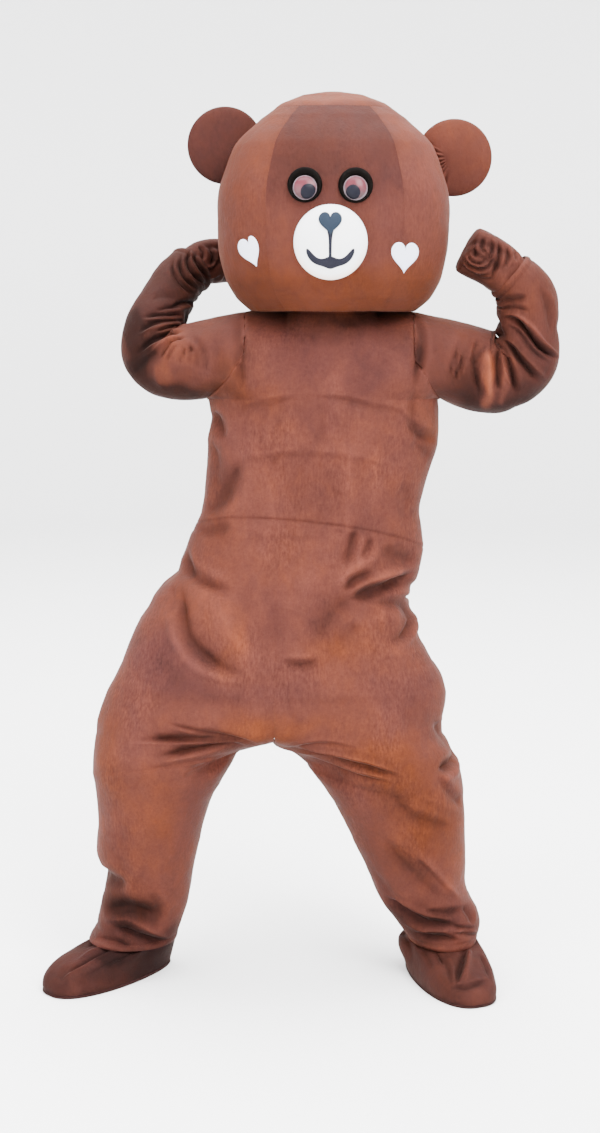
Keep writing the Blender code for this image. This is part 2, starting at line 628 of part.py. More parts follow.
def leg_rows():
    """The trousers' sections, closest together round the crotch."""
    even = np.linspace(0, 1, LEG_ROWS + 1)
    at = even + 0.04 * np.sin(2 * math.pi * even)
    rows = {name: curve_through(values, at, steady=True) for name, values in LEGS.items()}
    rows["turn"] = np.clip(rows["turn"], 90, 180)
    rows["turn"][:4] = 90
    return rows


def leg_grid(side, sign, rows):
    """A quarter of the trousers, from the side seam to the centre seam or inseam."""
    turn = np.radians(rows["turn"])[:, None]
    angle = turn * np.linspace(0, 1, LEG_COLUMNS + 1)[None, :]
    cosine, sine = bent(angle)
    end_cosine, _ = bent(turn)
    share = (1 - cosine) / (1 - end_cosine)
    seam_x = rows[f"{side}_seam_x"][:, None]
    apart = LEG_GAP * (1 if side == "right" else -1)
    outer_x = rows[f"{side}_x"][:, None]
    x = outer_x + (seam_x + apart * (share ** 8) - outer_x) * share
    depth = rows["front" if sign < 0 else "back"][:, None]
    y = sign * depth * sine
    outer_z = rows[f"{side}_z"][:, None]
    droop = share + 0.25 * sine * (1 - share)
    z = outer_z + (rows["seam_z"][:, None] - outer_z) * np.clip(droop, 0, 1)
    return np.stack([x, y, z], axis=-1)


def match_waist(grid, bodice, side):
    """Sets the top row of a leg piece on the bodice's lowest row, and eases the rows below to it."""
    half = BODICE_COLUMNS // 2
    row = bodice[0][: half + 1] if side == "left" else bodice[0][half:][::-1]
    shift = row - grid[0]
    for i in range(4):
        grid[i] += shift * (1 - i / 4)
    return grid


def sleeve_places():
    """Where along the arm each row lies: closest together round the elbow."""
    even = np.linspace(0, 1, SLEEVE_ROWS + 1)
    return even + 0.06 * np.sin(2 * math.pi * even)


def sleeve_frame(side):
    """Centres, radii, and the two directions across the arm at each row of a sleeve."""
    at = sleeve_places()
    path = curve_through(SLEEVES[side], at)
    return tube_frame(side, path[:, :3]) + (path[:, 3],)


def tube_frame(side, centres):
    tangent = unit(np.gradient(centres, axis=0))
    front = np.array([0.0, -1.0, 0.0]) - tangent * -tangent[:, 1:2]
    front = unit(front)
    under = np.cross(front, tangent) if side == "left" else np.cross(tangent, front)
    return centres, front, under


def ring_points(centres, front, under, radius, angles):
    turn = np.radians(angles)[None, :, None]
    return (centres[:, None] + radius[..., None] * (np.cos(turn) * under[:, None] + np.sin(turn) * front[:, None]))


def sleeve_piece(side):
    centres, front, under, radius = sleeve_frame(side)
    angles = np.arange(SLEEVE_COLUMNS) * 360 / SLEEVE_COLUMNS
    along = sleeve_places()[:, None]
    sizes = np.repeat(radius[:, None], SLEEVE_COLUMNS, axis=1)
    for row in SLEEVE_FOLDS[side]:
        fold = dict(zip(SLEEVE_FOLD_COLUMNS, row))
        away = (angles[None, :] - fold["angle"] + 180) % 360 - 180
        centre_at = fold["along"] + fold["slant"] * away / 90
        across = np.exp(-((along - centre_at) * ARM_LENGTH[side] / fold["width"]) ** 2)
        sizes = sizes - fold["depth"] * across * np.exp(-(away / fold["spread"]) ** 2)
    grid = ring_points(centres, front, under, sizes, angles)
    edge = armhole(side, angles)
    blend = smooth_step(along * 4.5)[..., None]
    grid = edge[None] * (1 - blend) + grid * blend
    inside = centres[:, None] * blend + edge.mean(axis=0) * (1 - blend)
    return new_piece(f"sleeve_{side}", grid, inside, "plush_dark", closed=True)


def make_mitt(side):
    """A fist-shaped mitt: a tube that starts inside the sleeve and closes at the knuckles."""
    at = np.linspace(0, 1, MITT_ROWS + 1) ** 0.85
    centres, front, under = tube_frame(side, curve_through(MITTS[side], at))
    size = MITT_RADIUS[side] * np.interp(at, MITT_SHAPE["along"], MITT_SHAPE["size"])
    angles = np.arange(MITT_COLUMNS) * 360 / MITT_COLUMNS
    turn = np.radians(angles)
    square = (np.abs(np.cos(turn)) ** 3 + np.abs(np.sin(turn)) ** 3) ** (-1 / 3)
    sizes = size[:, None] * square[None, :]
    reach = smooth_step((at - 0.25) / 0.3)[:, None]
    for groove in MITT_GROOVES["angle"]:
        across = np.exp(-((angles - groove) / MITT_GROOVES["width"]) ** 2)
        sizes = sizes - MITT_GROOVES["depth"] * reach * across[None, :]
    grid = ring_points(centres, front, under, sizes, angles)
    piece = new_piece(f"mitt_{side}", grid, centres[:, None], "plush_dark", closed=True, cap=True)
    sew([piece])


def fold_depths(piece):
    """How far the suit's folds sink each point of a piece in."""
    grid = piece["grid"]
    total = np.zeros(grid.shape[:2])
    if piece["name"].startswith("sleeve"):
        return total
    for row in SUIT_FOLDS:
        fold = dict(zip(FOLD_COLUMNS, row))
        start = np.array([fold["x0"], fold["z0"]])
        run = np.array([fold["x1"], fold["z1"]]) - start
        offset = grid[..., [0, 2]] - start
        part = np.clip(offset @ run / (run @ run), 0, 1)
        away = np.linalg.norm(offset - part[..., None] * run, axis=-1)
        taper = np.sqrt(np.sin(math.pi * np.clip(part, 0.04, 0.96)))
        facing = smooth_step(grid[..., 1] * fold["side"] / 0.03)
        total += fold["depth"] * np.exp(-(away / fold["width"]) ** 2) * taper * facing
    return total


def make_suit():
    front, back = bodice_grid(-1), bodice_grid(1)
    half = BODICE_COLUMNS // 2
    inside = front * [0.2, 0, 1]
    pieces = [new_piece("bodice_front", front, inside, "plush")]
    for side, part in (("left", slice(0, half + 1)), ("right", slice(half, None))):
        centre = back[:, part] * [0, 0, 1]
        pieces.append(new_piece(f"bodice_back_{side}", back[:, part], centre, "plush"))
    rows = leg_rows()
    for side in ("left", "right"):
        middle = (rows[f"{side}_x"] + rows[f"{side}_seam_x"]) / 2
        for name, sign, bodice in (("front", -1, front), ("back", 1, back)):
            grid = match_waist(leg_grid(side, sign, rows), bodice, side)
            centre = grid * [0, 0, 1] + np.stack([middle, 0 * middle, 0 * middle], axis=-1)[:, None]
            pieces.append(new_piece(f"trouser_{name}_{side}", grid, centre, "plush"))
    pieces += [sleeve_piece("left"), sleeve_piece("right")]
    sew(pieces, fold_depths)
    backs = {piece["name"]: piece for piece in pieces}
    make_placket(backs["bodice_back_left"], backs["bodice_back_right"])


def make_placket(left, right):
    """A strip over the zip, made from the middle columns of the two backs and moved out."""
    grid = np.stack([left["grid"][:, -2], (left["grid"][:, -1] + right["grid"][:, 0]) / 2,
                     right["grid"][:, 1]], axis=1)
    normals = np.stack([left["normals"][:, -2], left["normals"][:, -1], right["normals"][:, 1]], axis=1)
    under = grid + normals * STAND_OFF
    layered_solid("back_placket", under + normals * CLOTH, under, False, False, "plush")


def foot_outline(side, angles):
    """Points of the sole's outline round the foot; 0 is the toe and 180 the heel."""
    foot = FEET[side]
    heel, toe = np.array(foot["heel"]), np.array(foot["toe"])
    along = unit(toe - heel)
    across = np.array([-along[1], along[0]])
    turn = np.radians(angles)
    length = np.linalg.norm(toe - heel) / 2
    forward = np.cos(turn)
    width = SOLE_HALF_WIDTH * np.sign(np.sin(turn)) * np.abs(np.sin(turn)) ** 0.8 * (1 + 0.16 * forward)
    middle = (heel + toe) / 2
    return middle + forward[:, None] * length * along + width[:, None] * across


def make_foot(side):
    angles = np.arange(FOOT_COLUMNS) * 360 / FOOT_COLUMNS
    sole = foot_outline(side, angles)
    foot = FEET[side]
    ankle = np.array(foot["ankle"])
    along = unit(np.array(foot["toe"]) - np.array(foot["heel"]))
    across = np.array([-along[1], along[0]])
    turn = np.radians(angles)
    collar = ankle + ANKLE_RADIUS * (np.cos(turn)[:, None] * along + np.sin(turn)[:, None] * across)
    low_z = FLOOR_Z + SOLE + SEAM_GAP
    rows = [np.column_stack([collar, np.full(FOOT_COLUMNS, ANKLE_TOP_Z)])]
    toe_share = smooth_step(np.cos(turn) * 1.2)
    shoulder_z = ANKLE_TOP_Z - 0.025 - 0.003 * toe_share
    for part in np.linspace(0, 1, FOOT_ROWS):
        lean = math.radians(90 * part)
        flat = collar * (1 - math.sin(lean)) + sole * math.sin(lean)
        height = low_z + (shoulder_z - low_z) * math.cos(lean) ** 0.7
        rows.append(np.column_stack([flat, height]))
    grid = np.stack(rows)
    centre = np.array([*(ankle * 0.6 + sole.mean(axis=0) * 0.4), FLOOR_Z + 0.03])
    sew([new_piece(f"foot_{side}_upper", grid, centre, "plush_dark", closed=True, level_end=True)])
    plate = np.stack([np.column_stack([sole.mean(axis=0) + (sole - sole.mean(axis=0)) * share,
                                       np.full(FOOT_COLUMNS, FLOOR_Z + SOLE)]) for share in (1.0, 0.4)])
    layered_solid(f"foot_{side}_sole", plate, plate - [0, 0, SOLE], True, True, "sole")


def main():
    for leftover in list(bpy.data.objects):
        bpy.data.objects.remove(leftover)
    bpy.context.scene.unit_settings.scale_length = 1.0
    costume = bpy.data.collections.new("bear_mascot_costume")
    bpy.context.scene.collection.children.link(costume)
    make_head()
    make_muzzle()
    for side in ("left", "right"):
        make_eye(side)
        cheek = dict(zip(CHEEK_COLUMNS, CHEEKS[side]))
        outline = heart_outline(cheek["half_height"], cheek["width"], cheek["tilt"])
        applique(f"cheek_heart_{side}", head_front, (cheek["x"], cheek["z"]), outline,
                 lambda share, away: np.full_like(away, FELT), "felt", rings=2)
        make_ear(side)
        make_mitt(side)
        make_foot(side)
    make_suit()


main()
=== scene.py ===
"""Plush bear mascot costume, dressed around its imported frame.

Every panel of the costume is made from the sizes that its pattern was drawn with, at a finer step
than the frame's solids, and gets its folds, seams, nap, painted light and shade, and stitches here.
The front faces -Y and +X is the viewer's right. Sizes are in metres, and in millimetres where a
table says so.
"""

import math
from functools import partialmethod
from types import SimpleNamespace

import bpy
import numpy as np
from bpy.props import FloatProperty, FloatVectorProperty, IntProperty, PointerProperty
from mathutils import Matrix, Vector, noise


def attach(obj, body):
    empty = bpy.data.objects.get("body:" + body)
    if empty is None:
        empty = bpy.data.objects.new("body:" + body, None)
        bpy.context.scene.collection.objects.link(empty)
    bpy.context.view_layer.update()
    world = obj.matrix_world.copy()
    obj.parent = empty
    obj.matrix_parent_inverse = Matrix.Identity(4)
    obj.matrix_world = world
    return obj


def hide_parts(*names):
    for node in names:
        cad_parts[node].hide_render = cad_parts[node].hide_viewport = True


bl_info = {
    "name": "Bear mascot costume",
    "version": (1, 0, 0),
    "blender": (4, 5, 0),
    "location": "View3D > Sidebar > Costume",
    "description": "Makes a plush bear mascot costume, panel by panel",
    "category": "Object",
}

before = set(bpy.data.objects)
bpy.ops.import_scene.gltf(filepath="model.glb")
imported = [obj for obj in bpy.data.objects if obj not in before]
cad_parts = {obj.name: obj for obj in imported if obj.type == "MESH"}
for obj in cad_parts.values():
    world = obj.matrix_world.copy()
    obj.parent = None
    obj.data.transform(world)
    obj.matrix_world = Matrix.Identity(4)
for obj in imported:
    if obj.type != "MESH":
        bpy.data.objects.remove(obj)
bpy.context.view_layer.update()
SIDES = ("left", "right")
MM = 1000.0  # millimetres in a metre

# ---- sizes of the pattern ----


def metres(table):
    """A table of sizes in millimetres, turned into metres."""
    return {name: np.array(sizes) / MM for name, sizes in table.items()}


CLOTH, FOAM, FLOOR_Z = 0.002, 0.012, -1.350
HEAD_X, HEAD_BASE_Z, CROWN_SEAM_Z, HEAD_TOP_Z = 0.002, -0.004, 0.376, 0.4095
HEAD_ROUNDNESS, NECK_HOLE = 2.8, 0.120
FACE_ANGLE, BACK_ANGLE = 27, 140
HEAD_PROFILE = metres({
    "z": (-4, 20, 54, 110, 171, 224, 284, 315, 358, 386, 403, 410),
    "half_width": (160, 187, 207, 220, 223, 220, 201, 184, 140, 102, 60, 20),
    "half_depth": (150, 172, 190, 202, 206, 202, 186, 170, 132, 98, 58, 20),
})
EARS = {"left": (-0.206, 0.312, 0.073), "right": (0.235, 0.289, 0.073)}
EAR_GATHERS = {"left": 0.0010, "right": 0.0036}
EAR_THICKNESS = 0.036
MUZZLE_AT, MUZZLE_RADIUS, MUZZLE_HEIGHT = (-0.006, 0.1215), 0.067, 0.030
NOSE_AT, NOSE_SIZE, NOSE_WIDTH = (-0.007, 0.1535), 0.021, 0.93
MOUTH_AT, MOUTH_HALF_WIDTH = (-0.0065, 0.0885), 0.0415
PHILTRUM_TOP, PHILTRUM_LOW, PHILTRUM_HALF_WIDTH = 0.1425, 0.0930, 0.0028
EYES = {"left": (-0.053, 0.2235), "right": (0.039, 0.2225)}
EYE_RADIUS, IRIS_RADIUS, IRIS_DROP = 0.0315, 0.0222, 0.0048
PUPIL_SHIFT = {"left": (0.0072, -0.0090), "right": (-0.0052, -0.0086)}
PUPIL_RADIUS = {"left": 0.0148, "right": 0.0134}
# The hearts on the cheeks: x, z, half height, width, tilt in degrees, squeeze
CHEEKS = {
    "left": (-0.151, 0.103, 0.031, 0.66, 19, 0.72),
    "right": (0.131, 0.0925, 0.030, 0.80, -2, 1.0),
}
# How thick felt is, how far a loose layer stands off, and how deep a sewn-on piece sits in the plush
FELT, STAND_OFF, SUNK = 0.002, 0.0009, 0.0008

TORSO = metres({
    "z": (-470, -421, -399, -351, -304, -256, -209, -172),
    "left": (-290, -268, -258, -250, -247, -245, -238, -243),
    "right": (185, 178, 175, 184, 198, 211, 211, 210),
    "front": (136, 132, 130, 128, 128, 130, 130, 128),
    "back": (128, 120, 118, 118, 122, 128, 130, 130),
})
WAIST_Z = {"left": -0.421, "right": -0.470, "centre": -0.404}
ARMPIT = {"left": (-0.243, -0.172), "right": (0.210, -0.172)}
SHOULDER_TIP = {"left": (-0.168, -0.0043), "right": (0.158, -0.0043)}
ARMHOLE_DEPTH, CHEST_Z = 0.106, -0.172
NECK_HALF_WIDTH, NECK_FRONT, NECK_BACK, NECK_Z = 0.086, 0.090, 0.080, 0.006
LEGS = metres({
    "left_z": (-421, -496, -565, -642, -716, -790, -865, -930, -985, -1040, -1092, -1143, -1195, -1246,
               -1280),
    "left_x": (-268, -301, -344, -393, -426, -459, -477, -481, -478, -475, -478, -462, -468, -478, -480),
    "right_z": (-470, -530, -590, -650, -716, -780, -845, -905, -965, -1030, -1092, -1143, -1195, -1246,
                -1284),
    "right_x": (185, 174, 156, 176, 217, 227, 226, 252, 268, 273, 274, 275, 286, 305, 300),
    "seam_z": (-404, -478, -550, -625, -700, -765, -822, -862, -915, -985, -1060, -1130, -1190, -1243,
               -1280),
    "left_seam_x": (-30, -58, -85, -108, -112, -113, -112, -118, -213, -250, -271, -283, -292, -308, -319),
    "right_seam_x": (-30, -58, -85, -108, -112, -113, -112, -104, -36, 7, 46, 74, 98, 136, 158),
    "front": (132, 142, 152, 160, 165, 166, 162, 154, 142, 130, 118, 105, 95, 89, 86),
    "back": (120, 134, 152, 170, 182, 186, 182, 168, 150, 136, 124, 110, 100, 94, 90),
})
LEG_TURN = (90, 90, 90, 90, 92, 98, 118, 180, 180, 180, 180, 180, 180, 180, 180)
SECTION_POWER = 0.92
# How far the arch between the legs sags, where, and over what height
CROTCH_SAG, CROTCH_Z, CROTCH_REACH = 0.0085, -0.845, 0.020
# How much flatter the front of each inner thigh is beside the crotch, where, and over what height
THIGH_FLAT, THIGH_Z, THIGH_REACH = {"left": 0.50, "right": 0.35}, -0.930, 0.032
# How far the cloth stands out from the edges of the legs, as (z, distance to the viewer's right),
# in millimetres
LEG_EDGES = {
    "left": (
        (-440, -2), (-496, 0), (-520, 9), (-536, 0), (-545, -6), (-566, -11), (-590, -7), (-611, -8),
        (-642, -4), (-700, -1), (-760, -4), (-820, -3), (-845, 1), (-930, -2), (-950, 2), (-1010, 4),
        (-1070, 0), (-1165, 3), (-1195, -1), (-1250, -1), (-1268, -10), (-1280, -16),
    ),
    "right": (
        (-440, 1), (-470, 4), (-520, 2), (-535, 0), (-545, -7), (-566, -9), (-580, 0), (-611, 13), (-642, 2),
        (-670, 1), (-700, -5), (-730, 4), (-760, 7), (-790, 3), (-820, -3), (-845, 2), (-865, 7), (-930, 4),
        (-970, 1), (-1120, 3), (-1165, 0), (-1195, 2), (-1220, 6), (-1246, 3), (-1280, 0),
    ),
    "left_seam": (
        (-832, 0), (-840, -1), (-856, -4.4), (-858, -24), (-862, -36), (-867, -44), (-877, -40), (-885, -32),
        (-897, -10), (-905, 2), (-913, 9), (-930, 12), (-950, 12), (-970, 8), (-1070, 7), (-1120, 3),
        (-1280, 2),
    ),
    "right_seam": (
        (-832, 0), (-840, -3.3), (-856, -13.6), (-858, -8), (-862, -4), (-867, 1), (-889, 0), (-905, -4),
        (-913, -10), (-930, -9.5), (-950, -6), (-985, -3), (-1070, -4), (-1120, 1), (-1246, 2), (-1280, 8),
    ),
}
SLEEVES = metres({
    "left": ((-240, 0, -93, 83), (-296, 0, -105, 74), (-342, 6, -92, 68), (-350, 24, -42, 60),
             (-329, 58, 12, 53), (-301, 92, 60, 52), (-277, 112, 82, 48)),
    "right": ((238, 0, -95, 84), (282, -2, -116, 82), (326, -8, -123, 79.5), (370, -18, -94, 72.5),
              (380, -26, -34, 60), (376, -32, 16, 60), (360, -38, 47, 54), (339, -40, 66, 47)),
})
ARM_LENGTH = {"left": 0.34, "right": 0.44}
MITTS = metres({
    "left": ((-292, 101, 70), (-256, 129, 92), (-218, 160, 98)),
    "right": ((358, -39, 50), (309, -44, 86.5), (260, -48, 112.5)),
})
MITT_SHAPE = {
    "along": (0.00, 0.14, 0.34, 0.60, 0.82, 0.94, 1.00),
    "size": (0.84, 0.88, 0.99, 1.03, 1.03, 1.02, 0.97),
}
MITT_RADIUS = {"left": 0.044, "right": 0.046}
FEET = {
    "left": {"heel": (-0.342, 0.058), "toe": (-0.563, -0.146), "ankle": (-0.399, 0.004)},
    "right": {"heel": (0.182, 0.066), "toe": (0.292, -0.206), "ankle": (0.229, 0.004)},
}
SOLE, SOLE_HALF_WIDTH, ANKLE_RADIUS, ANKLE_TOP_Z = 0.006, 0.066, 0.070, -1.262
HEEL_BULGE = {"left": 0.012, "right": 0.018}

# ---- how finely each piece is made ----

BODICE_COLUMNS, LOWER_ROWS, UPPER_ROWS = 168, 100, 84
LEG_ROWS, LEG_COLUMNS = 280, BODICE_COLUMNS // 2
SLEEVE_ROWS, SLEEVE_COLUMNS = 184, 2 * UPPER_ROWS
HEAD_ROWS, FACE_COLUMNS, SIDE_COLUMNS, BACK_COLUMNS = 72, 40, 64, 40
MITT_ROWS, MITT_COLUMNS = 72, 128
COLLAR_ROWS, FOOT_ROWS, FOOT_COLUMNS = 8, 61, 168
EAR_ROWS, EAR_COLUMNS, HEART_COLUMNS = 30, 120, 160

# ---- folds ----
# Creases of the suit, drawn as lines seen from the front or from the back, in millimetres. Each row
# is the line (x and z of each point in turn), its half width, how deep it sinks (a negative depth is
# a ridge), and the lip: the share of the depth that stands up beside it, on the left (+) or the
# right (-) of the way it runs.
FRONT_FOLDS = (
    # the pull from the neck past each armhole, and the one under the right arm
    ((150, -10, 168, -40, 170, -75, 163, -120, 158, -170), 6, 6.5, 0.5),
    ((155, -150, 157, -200, 168, -238, 196, -256), 6.5, 6, -0.4),
    ((-170, -18, -176, -50, -172, -90, -176, -140), 8, 3.6, -0.4),
    # the J at the hip, the pleat beside it and the V above it
    ((-296, -524, -292, -562, -287, -601, -273, -636, -247, -662, -208, -683, -164, -697), 9, 14, -0.7),
    ((-311, -531, -311, -564, -314, -600), 4, 7, 0.5),
    ((-296, -522, -256, -536, -224, -565, -189, -624, -146, -678), 14, -7, 0),
    ((-286, -460, -284, -493, -268, -515, -236, -528, -189, -537), 8, 11, 0.5),
    ((-264, -435, -233, -423, -193, -416), 9, 9, 0),
    ((-356, -642, -324, -689, -274, -728, -177, -748), 10, 3, 0.3),
    ((-418, -745, -334, -750, -235, -753, -135, -748), 8, 2.5, 0.4),
    # the side of the waist
    ((31, -246, 32, -342, 30, -419, 26, -480), 7, -5, 0), ((46, -417, 36, -450, 26, -495), 7, 11, 0.6),
    ((77, -436, 65, -462, 50, -477), 6, 8, 0.5), ((5.5, -547, 21, -509.5, 53, -485, 97, -478), 9, -8, 0),
    ((22, -536, 48, -515, 87, -507), 7, 10, 0.4),
    ((32, -554, 69, -544, 113, -534, 146, -521, 165, -509), 8.5, 17, 0.8),
    ((83, -560, 137, -572, 158, -604, 140, -634, 108, -640), 7, 11, 0.6),
    ((85, -595, 115, -588, 138, -606), 12, -4, 0), ((100, -451, 124, -474, 171, -492), 10, 8, 0),
    ((-29, -630, -8, -594, 19, -565, 46, -558), 13, 9, 0), ((0, -640, 24, -622, 60, -604), 9, 4, 0.4),
    # the swag below the belly and packing creases
    ((-97, -666, -62, -678, -20, -669), 6, 7, 0.7), ((-207, -443, -100, -436, 5, -437), 4, 1.6, 0.4),
    ((-120, -748, -4, -752, 133, -748), 6, 2, 0.4), ((-116, -547, -112, -589, -120, -643), 7, 2.5, 0),
    # wedges and thin ridges that fan from the crotch
    ((-322, -794, -255, -807, -182, -823, -144, -839), 3, 7, -0.6),
    ((-137, -843, -207, -824, -295, -823, -379, -831), 6.5, 15, 0),
    ((-399, -839, -295, -832, -156, -835), 2.6, -5, 0),
    ((-160, -846, -217, -840, -275, -846, -350, -861), 6.5, 16, 0),
    ((-337, -871, -256, -855, -179, -842), 2.6, -4.5, 0), ((-358, -885, -275, -871, -202, -860), 4, 4, 0),
    ((-94, -855, -23, -833, 51, -843), 3.2, 4, 0.5),
    ((-82, -848, -42, -857, 16, -870, 74, -883, 141, -906), 4.2, 10, 0.7),
    ((-46, -875, -3, -888, 39, -900, 117, -915), 4, 8, 0.5),
    ((-26, -906, 36, -927, 114, -943, 198, -968), 9, 5, 0),
    # the outside of the thigh and knee, viewer's right
    ((264, -885, 238, -893, 210, -897), 8, 15, 0.5), ((204, -809, 228, -851, 248, -872), 5, 7, 0.4),
    ((208, -913, 234, -947, 270, -992), 5, 6, 0.5),
    ((118, -942, 154, -984, 199, -1003, 255, -1025), 8, 7, 0.4),
    ((173, -953, 215, -983, 265, -1014), 6, 4, 0.4),
    ((104, -1031, 137, -1082, 185, -1135, 231, -1179), 11, 8, 0.3),
    ((172, -1063, 213, -1117, 269, -1188), 4.5, -6, 0), ((164, -1075, 197, -1107, 239, -1159), 5, 6, 0),
    ((83, -1115, 123, -1172, 167, -1202), 8, 4, 0.3),
    # rolls above the hem, viewer's right
    ((108, -1175, 143, -1197, 183, -1217, 224, -1223, 261, -1228), 6, 15, 0.5),
    ((187, -1194, 229, -1200, 275, -1198), 5.5, 8, 0.4),
    ((165, -1248, 200, -1252, 232, -1253, 257, -1261), 5, 11, 0.5),
    ((244, -1228, 267, -1235, 295, -1243), 3, 6, 0.4), ((250, -1243, 272, -1248, 303, -1267), 3, 6, 0.4),
    ((268, -1193, 284, -1217, 286, -1236), 4, 7, 0.4),
    ((141, -1227, 180, -1235, 232, -1232, 288, -1252), 4, -5, 0),
    # the knee and the drooping roll, viewer's left
    ((-476, -1128, -448, -1135, -406, -1137), 10, 11, 0.3),
    ((-464, -1202, -407, -1191, -364, -1207, -345, -1241), 12, 19, 0),
    ((-460, -1224, -414, -1211, -380, -1224, -353, -1244, -323, -1268), 5.5, -9, 0),
    ((-442, -1231, -409, -1239, -373, -1253, -331, -1273), 6.5, 15, 0),
    ((-478, -1265, -443, -1261, -401, -1272), 5, 8, -0.4),
    ((-417, -997, -415, -1060, -427, -1128), 12, 3, 0), ((-362, -1147, -347, -1182, -341, -1224), 6, 5, 0.3),
    # chest: drag lines from the armpits, faint creases and standing ridges
    ((-232, -195, -219, -220, -211, -250), 7, 9, 0.4),
    ((-177, -289, -195, -326, -221, -367, -253, -400), 11, 13, 0.3),
    ((-236, -253, -225, -300, -234, -353), 9, 7, 0), ((-171, -58, -176, -105, -171, -156), 7, 6, 0),
    ((163, -49, 165, -96, 156, -143), 7, 6, 0), ((137, -212, 168, -238, 211, -252), 8, 7, 0.4),
    ((154, -249, 179, -274, 197, -289), 8, 5, 0),
    ((-43, -165, 18, -170, 75, -186, 125, -196, 174, -235), 4, 3.4, 0.6),
    ((-181, -191, -123, -181, -66, -165), 4.5, 2.4, 0.6),
    ((-185, -291, -77, -279, 37, -288, 131, -307), 5, 2.2, 0.6),
    ((83, -247, 80, -324, 77, -417), 6, -2.6, 0), ((-94, -156, -104, -209, -92, -258), 5, 2.2, 0.4),
    ((-28, -167, -20, -227, -32, -269), 4, 2, 0.4), ((131, -326, 144, -367, 140, -415), 8, 3.5, 0.3),
)
BACK_FOLDS = (
    ((-298, -500, -240, -522, -180, -560), 9, 12, 0.5), ((-292, -560, -220, -575, -150, -612), 8, 8, 0.5),
    ((172, -555, 100, -580, 20, -590), 8, 14, 0.5), ((165, -612, 100, -606, 40, -622), 7, 9, 0.5),
    ((150, -520, 110, -510, 70, -530), 6, 7, 0.4), ((-130, -640, -75, -668, -10, -655), 10, 6, 0.5),
    ((-150, -835, -270, -842, -400, -868), 7, 14, -0.6), ((-165, -850, -280, -868, -380, -905), 6, 10, -0.6),
    ((-60, -838, 60, -862, 190, -905), 7, 14, 0.6), ((-40, -856, 70, -895, 170, -945), 6, 9, 0.6),
    ((-472, -1060, -380, -1070, -290, -1035), 8, 12, 0.6),
    ((-470, -1105, -390, -1118, -300, -1085), 7, 10, 0.6), ((268, -1050, 160, -1066, 55, -1022), 8, 12, 0.6),
    ((270, -1105, 180, -1122, 85, -1085), 7, 10, 0.6), ((-474, -1175, -400, -1198, -310, -1190), 6, 13, 0.6),
    ((-478, -1225, -400, -1240, -315, -1232), 6, 10, 0.6),
    ((290, -1180, 200, -1200, 105, -1182), 6, 12, 0.6), ((300, -1235, 220, -1246, 135, -1230), 5, 10, 0.6),
    ((-230, -185, -190, -240, -120, -300), 11, 8, 0.4), ((198, -190, 160, -250, 90, -300), 11, 8, 0.4),
    ((-185, -110, -130, -112, -60, -150), 12, 5, 0.4), ((165, -115, 110, -120, 50, -165), 12, 5, 0.4),
    ((-235, -360, -180, -370, -110, -402), 9, 7, 0.5), ((172, -385, 120, -395, 60, -432), 9, 7, 0.5),
    ((-120, -180, -110, -280, -124, -380), 7, 3, 0.4), ((80, -200, 72, -290, 86, -380), 7, -3, 0),
)
